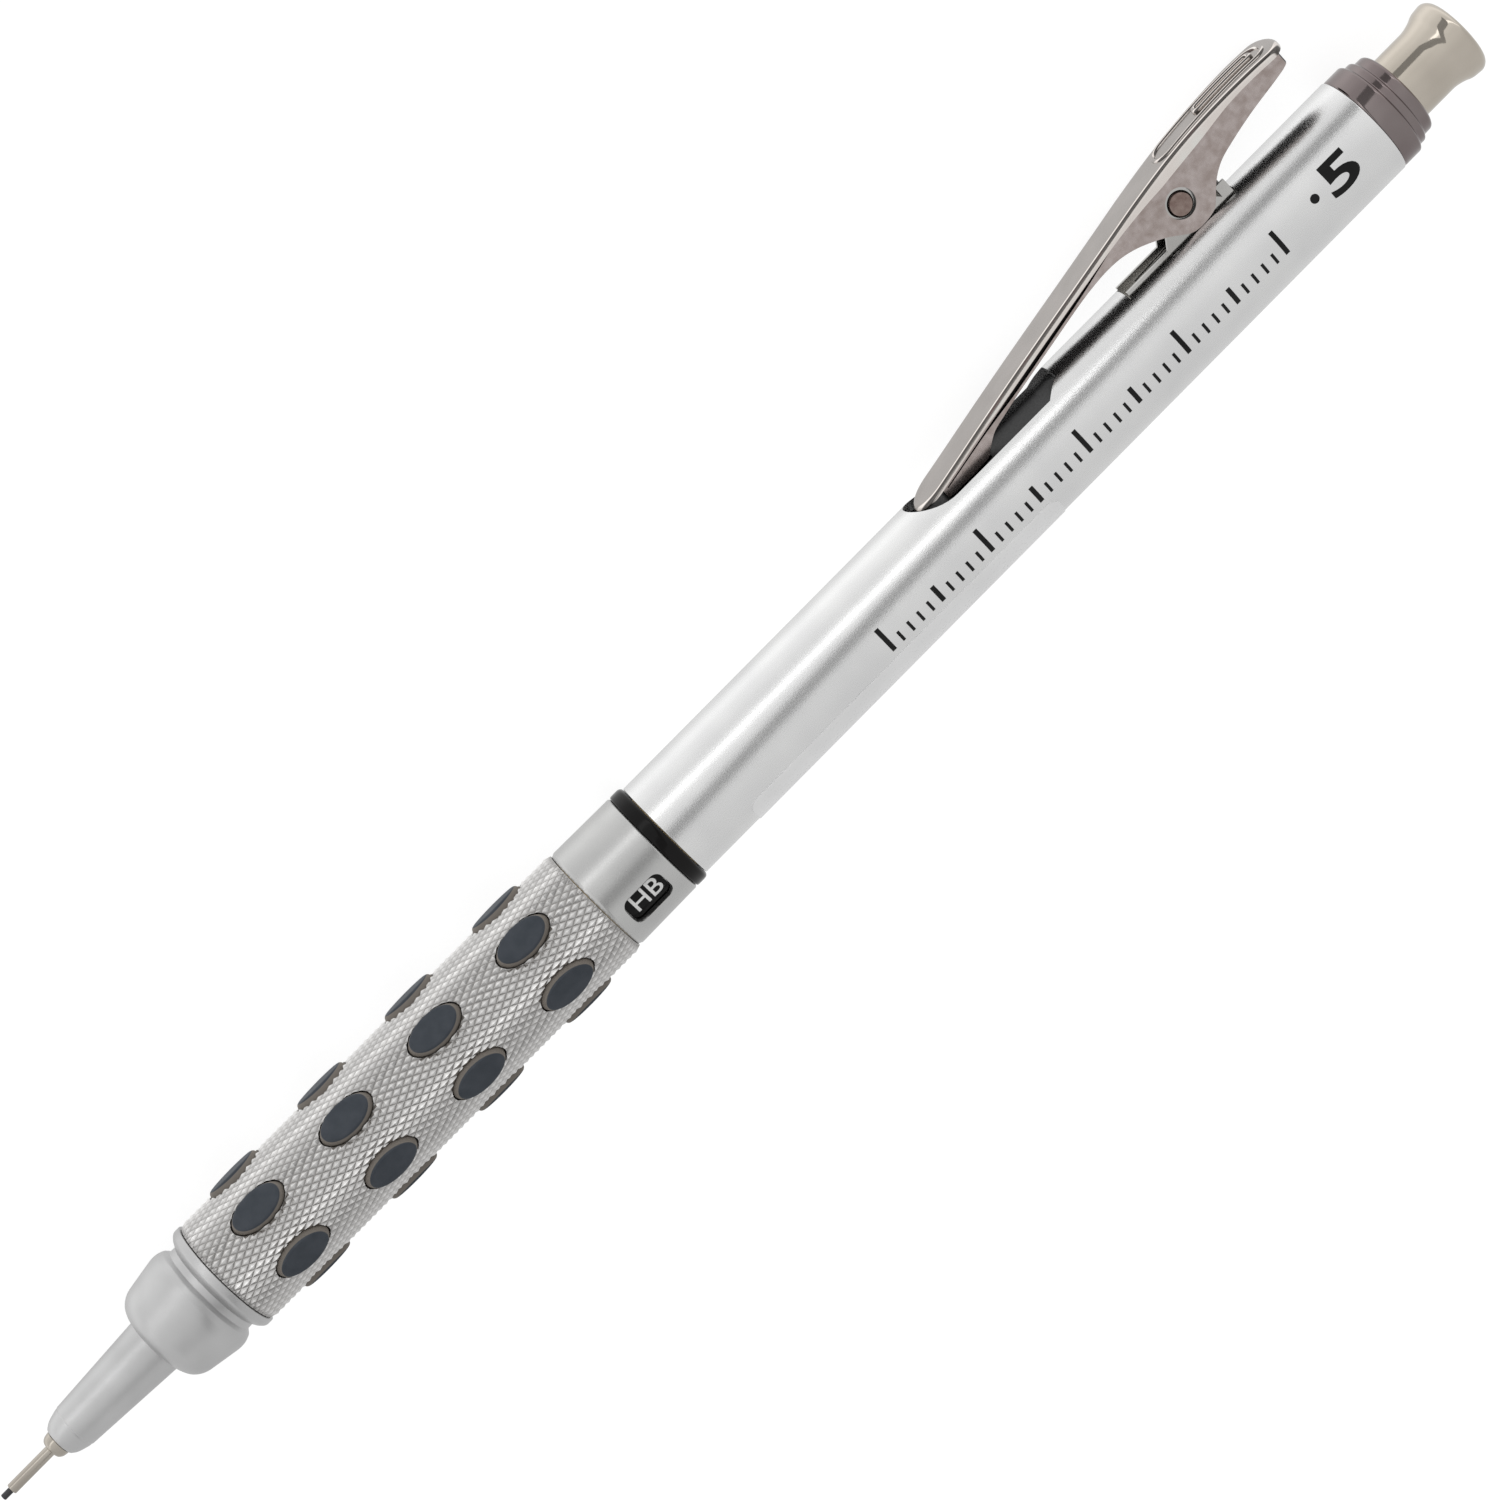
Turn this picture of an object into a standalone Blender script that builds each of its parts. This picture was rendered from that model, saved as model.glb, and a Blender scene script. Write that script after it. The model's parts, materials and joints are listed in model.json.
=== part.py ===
"""A retractable 0.5 mm mechanical drafting pencil, lying on its side on the plane z = 0.

Every piece is modelled in the pencil's own frame: x runs along the pencil's axis from the tip of
the lead sleeve (x = 0) to the push button, and z points at the clip. The empty "pencil" turns that
frame so that the clip lies to +Y, a little below the axis, and sets the whole pencil on z = 0 with
the middle of its bounding box over the origin.
"""

import math

import bmesh
import bpy
from mathutils import Vector

MM = 0.001

# ---------------------------------------------------------------- driving dimensions
# Lengths of the visible pieces, from the tip to the button.
SLEEVE_OUT = 4.0 * MM  # thin lead sleeve in front of its boss
BOSS_LEN = 0.85 * MM
CONE_OUT = 9.95 * MM  # retractable cone in front of the ferrule
FERRULE_LEN = 7.25 * MM
GRIP_LEN = 37.85 * MM  # knurled shell
COLLAR_LEN = 5.9 * MM  # smooth band with the grade window
GRADE_FLANGE_LEN = 1.1 * MM
BARREL_LEN = 71.8 * MM
END_COLLAR_LEN = 3.55 * MM
END_COLLAR_TAIL = 5.5 * MM  # its threaded front, inside the barrel
END_COLLAR_STEP = 0.33 * MM  # radius that each of its two steps loses
BUTTON_OUT = 6.0 * MM  # push button behind the end collar

# Radii of the visible pieces.
SLEEVE_R = 0.43 * MM
BOSS_R = 1.06 * MM
CONE_NOSE_R = 1.3 * MM
CONE_BREAK_R = 1.85 * MM
CONE_R = 2.37 * MM
FERRULE_SHOULDER_R = 4.12 * MM
FERRULE_R = 4.56 * MM
FERRULE_GROOVE_R = 3.94 * MM
FERRULE_MOUTH_R = 2.75 * MM
GRIP_R = 4.72 * MM
COLLAR_R = 4.54 * MM
GRADE_FLANGE_R = 4.47 * MM
BARREL_R = 4.25 * MM
BUTTON_R = 2.75 * MM
BUTTON_RIM_R = 3.31 * MM

# Walls, clearances and gaps.
BARREL_WALL = 0.65 * MM
GRIP_WALL = 0.66 * MM
LINER_WALL = 0.45 * MM
BUTTON_WALL = 0.3 * MM
CLIP_SHEET = 0.3 * MM
BRACKET_SHEET = 0.3 * MM
FIT = 0.05 * MM  # radial gap between pieces that fit in each other
SLIDE_FIT = 0.08 * MM  # radial gap where a piece slides
SEAT = 0.05 * MM  # axial gap between pieces that sit against each other
CHAMFER = 0.15 * MM

# Lead and its sleeve.
LEAD_R = 0.25 * MM
LEAD_LEN = 60.0 * MM
LEAD_OUT = 0.87 * MM
SLEEVE_BORE_R = 0.29 * MM
SLEEVE_SHANK_R = 0.8 * MM
SLEEVE_SHANK_LEN = 3.8 * MM
RETAINER_LEN = 2.0 * MM

# Chuck and its ring.
CHUCK_HEAD_R = 1.2 * MM
CHUCK_HEAD_LEN = 1.2 * MM
CHUCK_STEM_R = 0.8 * MM
CHUCK_LEN = 18.0 * MM
CHUCK_BORE_R = 0.3 * MM
CHUCK_SLOT = 0.16 * MM
CHUCK_SLOT_LEN = 7.5 * MM
CHUCK_RING_LEN = 2.6 * MM
CHUCK_RING_R = 1.66 * MM
CHUCK_RING_TRAVEL = 0.7 * MM
CHUCK_FROM_BOSS = 10.0 * MM  # boss's rear face to the front of the jaws
CHUCK_RING_TO_CARRIAGE = 2.0 * MM

# Inner tubes.
INNER_TUBE_R = 3.45 * MM
INNER_TUBE_BORE_R = 2.55 * MM
INNER_TUBE_SETBACK = 3.65 * MM  # inner tube's front, behind the ferrule's
INNER_TUBE_INTO_BARREL = 9.0 * MM
CONE_SKIRT = 15.2 * MM  # straight rear part of the cone, inside the ferrule and inner tube
CARRIAGE_R = 2.1 * MM
CARRIAGE_BORE_R = 1.72 * MM
CARRIAGE_NECK_R = 1.9 * MM  # part that screws into the cone
CARRIAGE_LEN = 92.0 * MM
CARRIAGE_LIP = 0.9 * MM  # inner lip that the chuck spring stands on
LEAD_TUBE_R = 1.55 * MM
LEAD_TUBE_BORE_R = 1.15 * MM
COLLAR_SEAT_R = 3.0 * MM  # collar on the carriage that takes the retract spring
COLLAR_SEAT_LEN = 2.4 * MM
COLLAR_FLAT_Z = 2.32 * MM
RETRACT_SPRING_LEN = 15.6 * MM

# Eraser end.
BUTTON_SKIRT = 19.5 * MM  # length of the button inside the end collar
BUTTON_END_WALL = 0.8 * MM
BUTTON_FLARE_LEN = 2.9 * MM
BUTTON_FACE_R = 2.35 * MM
CUP_R = 2.38 * MM
CUP_LEN = 11.0 * MM
CUP_DEPTH = 6.8 * MM
CUP_FROM_END = 18.5 * MM
ERASER_LEN = 11.6 * MM
CUP_WALL = 0.3 * MM
CUP_WEB = 0.5 * MM  # wall between the lead tube's socket and the eraser

# Grip pads.
PAD_ROWS = 4
PAD_COLUMNS = 6
PAD_PITCH = 8.96 * MM
PAD_PHASE = math.radians(48.6)  # from the clip, towards the printed side
PAD_HALF_LEN = 2.42 * MM
PAD_HALF_WIDTH = 1.28 * MM
PAD_TOP_INSET = 0.2 * MM
PAD_TOP_R = 4.97 * MM
PAD_SLEEVE_WALL = 0.42 * MM
PAD_HOLE_GAP = 0.1 * MM

# Grade window, cut in the smooth band.
WINDOW_LEN = 3.5 * MM
WINDOW_WIDTH = 2.4 * MM
WINDOW_CORNER = 0.6 * MM
WINDOW_ANGLE = math.radians(106.0)

# Clip: distances along x are from its pivot, heights are from the pencil's axis.
PIVOT_FROM_BARREL_END = 13.85 * MM
PIVOT_HEIGHT = 6.2 * MM
PIN_R = 0.96 * MM
PIN_HOLE_R = 1.18 * MM
PIN_HOLE_RISE = 0.1 * MM  # the spring holds the ears up against the pin
CLIP_BEND_R = 0.4 * MM
CLIP_TIP_REACH = 28.85 * MM
CLIP_TIP_ROUND = 2.3 * MM
CLIP_TAIL_REACH = 13.1 * MM
CLIP_TAIL_ROUND = 1.5 * MM
CLIP_SIDE = (
    (-28.85, 2.1), (-17.6, 2.0), (-5.9, 1.98), (1.85, 2.05), (5.75, 2.2), (9.6, 2.4), (13.1, 2.42),
)
CLIP_FACE = (
    (-28.85, 3.85), (-25.45, 4.51), (-21.55, 5.31), (-17.6, 6.1), (-13.7, 6.83), (-9.8, 7.54),
    (-5.9, 8.26), (-2.0, 8.98), (1.85, 9.54), (5.75, 9.86), (9.6, 9.93), (13.1, 9.75),
)
CLIP_SKIRT = (  # how far the plate's rolled edges come down
    (-28.85, 0.42), (-21.5, 0.42), (-17.6, 0.52), (-5.9, 0.55), (-2.0, 0.8),
    (0.0, 0.98), (3.8, 0.98), (7.8, 0.65), (13.1, 0.6),
)
CLIP_EDGE = (
    (-26.5, 2.99), (-22.5, 3.05), (-22.0, 3.4), (-21.5, 3.77), (-21.0, 4.08), (-20.5, 4.26),
    (-19.5, 4.5), (-17.6, 4.92), (-13.7, 5.67), (-9.8, 6.4), (-7.8, 6.63), (-6.8, 6.65),
    (-5.85, 6.58), (-4.9, 6.37), (-3.9, 6.0), (-2.4, 5.23), (-1.1, 4.29), (-0.65, 4.05),
    (0.05, 3.94), (1.0, 4.02), (1.6, 4.2), (2.0, 4.55), (3.0, 5.59), (4.0, 6.27), (4.95, 6.63),
    (7.9, 7.3), (11.8, 7.91), (12.6, 8.22), (13.1, 8.6),
)
CHANNEL_SLIT = (  # bottom of the gap between plate and channel, below the clip's face
    (-26.1, 0.77), (-21.5, 0.82), (-17.6, 0.99), (-13.7, 0.96), (-9.8, 0.89), (-7.8, 0.79), (-6.0, 0.68),
)
CHANNEL_FRONT = 26.5 * MM
CHANNEL_HALF_WIDTH = 1.62 * MM
CHANNEL_SHEET = 0.28 * MM
PIN_RECESS = 0.1 * MM  # pin's ends, inside the ears' outer faces
CLIP_STATIONS = 22

# Slots in the barrel and the black liner behind them.
SLOT_HALF_WIDTH = 2.78 * MM
SLOT_FRONT = 29.45 * MM  # slot's round front end, ahead of the pivot
SLOT_ROUND = 3.5 * MM
SLOT_REAR = 15.0 * MM  # its chamfered rear end, ahead of the pivot
SLOT_CORNER_LEN = 1.6 * MM
SLOT_REAR_HALF_WIDTH = 1.7 * MM
LINER_FROM_BARREL_FRONT = 26.4 * MM
POCKET_FLOOR_Z = 2.75 * MM
POCKET_FLOOR_WALL = 0.3 * MM
POCKET_RAMP_LEN = 1.7 * MM
HOOK_FRONT = 24.8 * MM
HOOK_LEN = 2.2 * MM
HOOK_HALF_WIDTH = 0.8 * MM
HOOK_BOTTOM_Z = 2.42 * MM
HOOK_HOLE_GAP = 0.4 * MM
HOOK_FOOT = 0.5 * MM
POCKET_WALL = 0.7 * MM

# Pivot bracket, standing in the upper slot.
BRACKET_SLOT_FRONT = 7.3 * MM
BRACKET_SLOT_REAR = 3.65 * MM
BRACKET_SLOT_HALF_WIDTH = 1.66 * MM
BRACKET_HALF_WIDTH = 1.3 * MM
BRACKET_BASE_Z = 3.0 * MM
BRACKET_BASE_TAB = 1.6 * MM  # how far the base reaches under the barrel past the slot
BRACKET_RAIL_Z = 4.3 * MM
BRACKET_TOWER_FRONT = 2.96 * MM
BRACKET_TOWER_Z = 5.6 * MM
BRACKET_BOSS_R = 1.4 * MM
BRACKET_REAR_TAB_Z = 5.2 * MM
BRACKET_REAR_TAB_LEN = 0.9 * MM

# Springs: wire radius, mean coil radius and turns.
RETRACT_SPRING = (0.2 * MM, 2.75 * MM, 8)
CHUCK_SPRING = (0.12 * MM, 1.25 * MM, 7)
CLIP_SPRING = (0.17 * MM, 1.3 * MM, 3.5)
CLIP_SPRING_PITCH = 0.42 * MM
COIL_POINTS = 9

# How the pencil lies: the clip this far below the horizontal, resting beside the barrel.
CLIP_DROOP = math.radians(16.4)

WIDE = 28  # sides of a large turned piece
SLIM = 16  # sides of a piece under 2.5 mm in radius

# ---------------------------------------------------------------- places along the axis
X_BOSS = SLEEVE_OUT
X_CONE = X_BOSS + BOSS_LEN + SEAT
X_FERRULE = X_BOSS + BOSS_LEN + CONE_OUT
X_GRIP = X_FERRULE + FERRULE_LEN + SEAT
X_COLLAR = X_GRIP + GRIP_LEN + SEAT
X_GRADE = X_COLLAR + COLLAR_LEN + SEAT
X_BARREL = X_GRADE + GRADE_FLANGE_LEN + SEAT
X_BARREL_END = X_BARREL + BARREL_LEN
X_END_COLLAR = X_BARREL_END + SEAT
X_BUTTON_END = X_END_COLLAR + END_COLLAR_LEN + BUTTON_OUT
X_PIVOT = X_BARREL_END - PIVOT_FROM_BARREL_END
X_CHUCK = X_BOSS + BOSS_LEN + CHUCK_FROM_BOSS
X_CHUCK_RING = X_CHUCK + CHUCK_HEAD_LEN + 2 * SEAT
X_CARRIAGE = X_CHUCK_RING + CHUCK_RING_LEN + CHUCK_RING_TO_CARRIAGE
X_CONE_END = X_FERRULE + CONE_SKIRT
X_LEAD_TUBE = X_CHUCK + CHUCK_LEN
X_INNER_TUBE_END = X_BARREL + INNER_TUBE_INTO_BARREL
X_COLLAR_SEAT = X_INNER_TUBE_END + RETRACT_SPRING_LEN + 2 * SEAT
X_CUP = X_BUTTON_END - CUP_FROM_END
X_LINER = X_BARREL + LINER_FROM_BARREL_FRONT

BARREL_BORE_R = BARREL_R - BARREL_WALL
LINER_R = BARREL_BORE_R - FIT
LINER_BORE_R = LINER_R - LINER_WALL
GRIP_BORE_R = GRIP_R - GRIP_WALL
PAD_SLEEVE_R = GRIP_BORE_R - FIT
SPIGOT_LEN = 2.4 * MM  # ferrule's threaded tail, inside the grip shell
X_PAD_SLEEVE = X_GRIP + SPIGOT_LEN + SEAT
INNER_TUBE_FRONT = X_FERRULE + INNER_TUBE_SETBACK
SHOULDER_LEN = 0.7 * MM  # flange on the inner tube between pad sleeve and grade drum
X_SHOULDER = X_COLLAR - SHOULDER_LEN / 2


# ---------------------------------------------------------------- scene and materials
def clear_scene():
    for obj in list(bpy.data.objects):
        bpy.data.objects.remove(obj, do_unlink=True)


clear_scene()
PENCIL = bpy.data.collections.new("drafting_pencil")
CUTTERS = bpy.data.collections.new("cutters")
bpy.context.scene.collection.children.link(PENCIL)
bpy.context.scene.collection.children.link(CUTTERS)


def material(name, colour, metallic, roughness):
    made = bpy.data.materials.new(name)
    made.use_nodes = True
    shader = made.node_tree.nodes["Principled BSDF"]
    shader.inputs["Base Color"].default_value = (*colour, 1.0)
    shader.inputs["Metallic"].default_value = metallic
    shader.inputs["Roughness"].default_value = roughness
    return made


SATIN = material("satin_aluminium", (0.78, 0.79, 0.79), 1.0, 0.38)
MATT = material("matt_aluminium", (0.66, 0.67, 0.67), 1.0, 0.5)
KNURL = material("knurled_aluminium", (0.74, 0.74, 0.73), 1.0, 0.42)
NICKEL = material("polished_nickel", (0.72, 0.68, 0.62), 1.0, 0.12)
GUNMETAL = material("gunmetal", (0.42, 0.38, 0.37), 1.0, 0.25)
BLACK = material("black_plastic", (0.02, 0.02, 0.022), 0.0, 0.35)
SMOKE = material("smoke_plastic", (0.22, 0.23, 0.24), 0.0, 0.3)
RUBBER = material("grip_rubber", (0.05, 0.06, 0.075), 0.0, 0.6)
BRASS = material("brass", (0.76, 0.6, 0.32), 1.0, 0.3)
STEEL = material("spring_steel", (0.6, 0.6, 0.6), 1.0, 0.25)
ERASER = material("white_eraser", (0.9, 0.9, 0.88), 0.0, 0.75)
GRAPHITE = material("graphite", (0.07, 0.07, 0.075), 0.3, 0.45)


# ---------------------------------------------------------------- tools
def link(name, data, look, at=(0, 0, 0), cutter=False):
    """A new object at that point of the pencil's frame."""
    obj = bpy.data.objects.new(name, data)
    (CUTTERS if cutter else PENCIL).objects.link(obj)
    obj.location = at
    if look:
        data.materials.append(look)
    if cutter:
        obj.hide_render = True
        obj.display_type = "WIRE"
    return obj


def turned(name, x, profile, look, sides=WIDE, cutter=False):
    """A piece turned about the x axis. The profile holds (distance from x, radius) pairs; one that
    starts and ends on the axis is solid, and any other is closed into a ring."""
    area = sum(a[0] * b[1] - b[0] * a[1] for a, b in zip(profile, profile[1:] + profile[:1], strict=True))
    points = profile if area > 0 else profile[::-1]
    solid = points[0][1] == 0 and points[-1][1] == 0
    mesh = bpy.data.meshes.new(name)
    edges = [(i, i + 1) for i in range(len(points) - 1)]
    if not solid:
        edges.append((len(points) - 1, 0))
    mesh.from_pydata([(along, 0, radius) for along, radius in points], edges, [])
    obj = link(name, mesh, look, (x, 0, 0), cutter)
    screw = obj.modifiers.new("turn", "SCREW")
    screw.axis = "X"
    screw.steps = screw.render_steps = sides
    screw.use_merge_vertices = True
    screw.merge_threshold = 1e-7
    screw.use_smooth_shade = True
    return obj


def tube(name, x, length, outer, inner, look, sides=WIDE, chamfer=0.0, cutter=False):
    profile = [
        (0, inner), (0, outer - chamfer), (chamfer, outer),
        (length - chamfer, outer), (length, outer - chamfer), (length, inner),
    ]
    if not chamfer:
        profile = [(0, inner), (0, outer), (length, outer), (length, inner)]
    return turned(name, x, profile, look, sides, cutter)


def rod(name, x, length, radius, look, sides=SLIM, cutter=False):
    return turned(name, x, [(0, 0), (0, radius), (length, radius), (length, 0)], look, sides, cutter)


def as_mesh(curve_object):
    """The curve's solid as a mesh object of the same name, with its caps welded on."""
    bpy.context.view_layer.update()
    graph = bpy.context.evaluated_depsgraph_get()
    mesh = bpy.data.meshes.new_from_object(curve_object.evaluated_get(graph))
    bm = bmesh.new()
    bm.from_mesh(mesh)
    bmesh.ops.remove_doubles(bm, verts=bm.verts, dist=1e-7)
    bmesh.ops.recalc_face_normals(bm, faces=bm.faces)
    bm.to_mesh(mesh)
    bm.free()
    name = curve_object.name
    made = bpy.data.objects.new(name, mesh)
    for collection in curve_object.users_collection:
        collection.objects.link(made)
    made.matrix_world = curve_object.matrix_world
    made.parent = curve_object.parent
    made.hide_render = curve_object.hide_render
    made.display_type = curve_object.display_type
    bpy.data.objects.remove(curve_object)
    made.name = name
    return made


def plate(name, outline, low, high, look, view, cutter=False):
    """A flat outline made a solid between two planes. view "top" takes (x, y) points and stands
    between two z values; view "side" takes (x, z) points and stands between two y values."""
    curve = bpy.data.curves.new(name, "CURVE")
    curve.dimensions = "2D"
    curve.fill_mode = "BOTH"
    curve.extrude = (high - low) / 2
    spline = curve.splines.new("POLY")
    spline.points.add(len(outline) - 1)
    for point, (u, v) in zip(spline.points, outline, strict=True):
        point.co = (u, v, 0, 1)
    spline.use_cyclic_u = True
    middle = (low + high) / 2
    if view == "top":
        obj = link(name, curve, look, (0, 0, middle), cutter)
    else:
        obj = link(name, curve, look, (0, middle, 0), cutter)
        obj.rotation_euler = (math.pi / 2, 0, 0)
    return as_mesh(obj)


def box(name, low, high, look=None, cutter=True):
    mesh = bpy.data.meshes.new(name)
    bm = bmesh.new()
    bmesh.ops.create_cube(bm, size=1)
    for vertex in bm.verts:
        for k in range(3):
            vertex.co[k] = low[k] if vertex.co[k] < 0 else high[k]
    bm.to_mesh(mesh)
    bm.free()
    return link(name, mesh, look, cutter=cutter)


def combine(obj, other, operation):
    """A Boolean with one other object, which becomes a hidden helper."""
    other.hide_render = True
    other.display_type = "WIRE"
    modifier = obj.modifiers.new(f"{operation.lower()}_{other.name}", "BOOLEAN")
    modifier.operation = operation
    modifier.object = other
    modifier.solver = "EXACT"


def cut(obj, *others):
    for other in others:
        combine(obj, other, "DIFFERENCE")


def wire(name, points, radius, look, at=(0, 0, 0)):
    curve = bpy.data.curves.new(name, "CURVE")
    curve.dimensions = "3D"
    curve.bevel_depth = radius
    curve.bevel_resolution = 2
    curve.use_fill_caps = True
    spline = curve.splines.new("POLY")
    spline.points.add(len(points) - 1)
    for point, co in zip(spline.points, points, strict=True):
        point.co = (*co, 1)
    return link(name, curve, look, at)


def arc(centre, radii, start, stop, steps):
    """Points of an ellipse's arc, angles in degrees from its first axis."""
    found = []
    for i in range(steps + 1):
        a = math.radians(start + (stop - start) * i / steps)
        found.append((centre[0] + radii[0] * math.cos(a), centre[1] + radii[1] * math.sin(a)))
    return found


def along(points, x):
    """Height at x of a smooth curve through the points, in millimetres."""
    last = len(points) - 1
    i = next((k for k in range(last) if x <= points[k + 1][0]), last - 1)
    before, left, right, after = (points[max(0, min(last, k))] for k in (i - 1, i, i + 1, i + 2))
    width = right[0] - left[0]
    t = (x - left[0]) / width
    slope_left = (right[1] - before[1]) / (right[0] - before[0]) * width
    slope_right = (after[1] - left[1]) / (after[0] - left[0]) * width
    return (
        (2 * t**3 - 3 * t**2 + 1) * left[1] + (t**3 - 2 * t**2 + t) * slope_left
        + (3 * t**2 - 2 * t**3) * right[1] + (t**3 - t**2) * slope_right
    )


def around(name, radial, half, low, high, inset, sides=12):
    """An elliptical plug standing out from the axis at an angle: (x, angle) is its middle."""
    x, angle = radial
    half_len, half_width = half
    mesh = bpy.data.meshes.new(name)
    bm = bmesh.new()
    bmesh.ops.create_cone(bm, cap_ends=True, segments=sides, radius1=1, radius2=1, depth=2)
    for vertex in bm.verts:
        top = vertex.co.z > 0
        vertex.co.x *= half_len - (inset if top else 0)
        vertex.co.y *= half_width - (inset if top else 0)
        vertex.co.z = high if top else low
    bm.to_mesh(mesh)
    bm.free()
    obj = link(name, mesh, None, (x, 0, 0), cutter=True)
    obj.rotation_euler = (angle, 0, 0)
    return obj


def merged(name, objects):
    """Helper objects that don't touch, as one helper."""
    bpy.context.view_layer.update()
    mesh = bpy.data.meshes.new(name)
    bm = bmesh.new()
    for obj in objects:
        start = len(bm.verts)
        bm.from_mesh(obj.data)
        bm.verts.ensure_lookup_table()
        for vertex in bm.verts[start:]:
            vertex.co = obj.matrix_world @ vertex.co
        bpy.data.objects.remove(obj)
    bm.to_mesh(mesh)
    bm.free()
    return link(name, mesh, None, cutter=True)


# ---------------------------------------------------------------- tip and retractable carriage
def make_tip():
    """Lead, lead sleeve with its boss, cone, and the rubber retainer that holds the lead back."""
    lead = rod("lead", -LEAD_OUT, LEAD_LEN, LEAD_R, GRAPHITE, 12)
    shank_end = BOSS_LEN + SLEEVE_SHANK_LEN
    toe = SLEEVE_R + 0.12 * MM
    dome = arc((BOSS_LEN - 0.2 * MM, toe), (0.62 * MM, BOSS_R - toe), 180, 90, 4)
    sleeve = turned(
        "lead_sleeve", X_BOSS,
        [(-SLEEVE_OUT, SLEEVE_BORE_R), (-SLEEVE_OUT, SLEEVE_R - 0.05 * MM),
         (0.05 * MM - SLEEVE_OUT, SLEEVE_R), (0, SLEEVE_R), *dome, (BOSS_LEN, BOSS_R),
         (BOSS_LEN, SLEEVE_SHANK_R), (shank_end, SLEEVE_SHANK_R), (shank_end, SLEEVE_BORE_R)],
        STEEL, SLIM,
    )
    retainer_x = X_BOSS + shank_end + SEAT
    retainer = tube(
        "lead_retainer", retainer_x, RETAINER_LEN, SLEEVE_SHANK_R, LEAD_R + 0.02 * MM, RUBBER, SLIM
    )
    nose_len = 1.5 * MM
    visible = X_FERRULE - X_CONE
    end = X_CONE_END - X_CONE
    bore = SLEEVE_SHANK_R + FIT
    throat = retainer_x + RETAINER_LEN + SEAT - X_CONE
    ring_stop = X_CHUCK_RING - CHUCK_RING_TRAVEL - SEAT - X_CONE
    neck = X_CARRIAGE - SEAT - X_CONE
    nose = arc((nose_len, CONE_NOSE_R), (nose_len, CONE_BREAK_R - CONE_NOSE_R), 180, 90, 5)
    cone = turned(
        "tip_cone", X_CONE,
        [*nose, (visible, CONE_R), (end, CONE_R), (end, CARRIAGE_NECK_R + FIT), (neck, CARRIAGE_NECK_R + FIT),
         (neck, CHUCK_RING_R + FIT), (ring_stop, CHUCK_RING_R + FIT), (ring_stop, CHUCK_HEAD_R + 0.2 * MM),
         (throat, CHUCK_HEAD_R + 0.2 * MM), (throat, bore), (0, bore)],
        MATT, WIDE,
    )
    return lead, sleeve, retainer, cone


def make_chuck():
    """Slit brass chuck, and the ring that closes its jaws."""
    stem = CHUCK_HEAD_LEN + 0.9 * MM
    chuck = turned(
        "chuck", X_CHUCK,
        [(0, CHUCK_BORE_R), (0, 0.75 * MM), (0.3 * MM, CHUCK_HEAD_R - 0.1 * MM), (0.5 * MM, CHUCK_HEAD_R),
         (CHUCK_HEAD_LEN, CHUCK_HEAD_R), (stem, CHUCK_STEM_R), (CHUCK_LEN - SEAT, CHUCK_STEM_R),
         (CHUCK_LEN - SEAT, CHUCK_BORE_R)],
        BRASS, SLIM,
    )
    for i in range(3):
        half = CHUCK_SLOT / 2
        slit = box(f"chuck_slit_{i}", (-0.3 * MM, 0.1 * MM, -half), (CHUCK_SLOT_LEN, 2 * MM, half))
        slit.location.x = X_CHUCK
        slit.rotation_euler.x = math.radians(120 * i + 7)
        cut(chuck, slit)
    ring = turned(
        "chuck_ring", X_CHUCK_RING,
        [(0, CHUCK_HEAD_R + FIT), (0, CHUCK_RING_R), (CHUCK_RING_LEN, CHUCK_RING_R),
         (CHUCK_RING_LEN, CHUCK_STEM_R + FIT), (1.2 * MM, CHUCK_STEM_R + FIT)],
        BRASS, SLIM,
    )
    return chuck, ring


def make_carriage():
    """Long tube that carries the cone and everything in it, and its collar for the retract spring."""
    neck_end = X_CONE_END + SEAT - X_CARRIAGE
    throat = CHUCK_STEM_R + 2 * FIT
    carriage = turned(
        "carriage_tube", X_CARRIAGE,
        [(0, throat), (0, CARRIAGE_NECK_R), (neck_end, CARRIAGE_NECK_R), (neck_end, CARRIAGE_R),
         (CARRIAGE_LEN, CARRIAGE_R), (CARRIAGE_LEN, CARRIAGE_BORE_R), (CARRIAGE_LIP, CARRIAGE_BORE_R),
         (CARRIAGE_LIP, throat)],
        BLACK, 32,
    )
    seat = tube(
        "spring_collar", X_COLLAR_SEAT, COLLAR_SEAT_LEN, COLLAR_SEAT_R, CARRIAGE_R + FIT, BLACK, 40
    )
    flat = box("collar_flat", (-1 * MM, -4 * MM, COLLAR_FLAT_Z), (COLLAR_SEAT_LEN + 1 * MM, 4 * MM, 4 * MM))
    flat.location.x = X_COLLAR_SEAT
    cut(seat, flat)
    return carriage, seat


def coil(name, x, length, spring, look):
    """A compression spring with closed ends, from x over the length."""
    radius, mean, turns = spring
    count = turns * COIL_POINTS
    inner = length - 2 * radius - 2 * SEAT
    points = []
    for i in range(count + 1):
        share = i / count
        rise = min(1.0, max(0.0, (share - 1 / turns) / (1 - 2 / turns)))
        closed = 2.2 * radius
        low = closed * min(1.0, share * turns)
        high = closed * max(0.0, 1 - (1 - share) * turns)
        travel = low + high + (inner - 2 * closed) * rise
        angle = 2 * math.pi * turns * share
        points.append((radius + SEAT + travel, mean * math.cos(angle), mean * math.sin(angle)))
    return wire(name, points, radius, look, (x, 0, 0))


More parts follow.
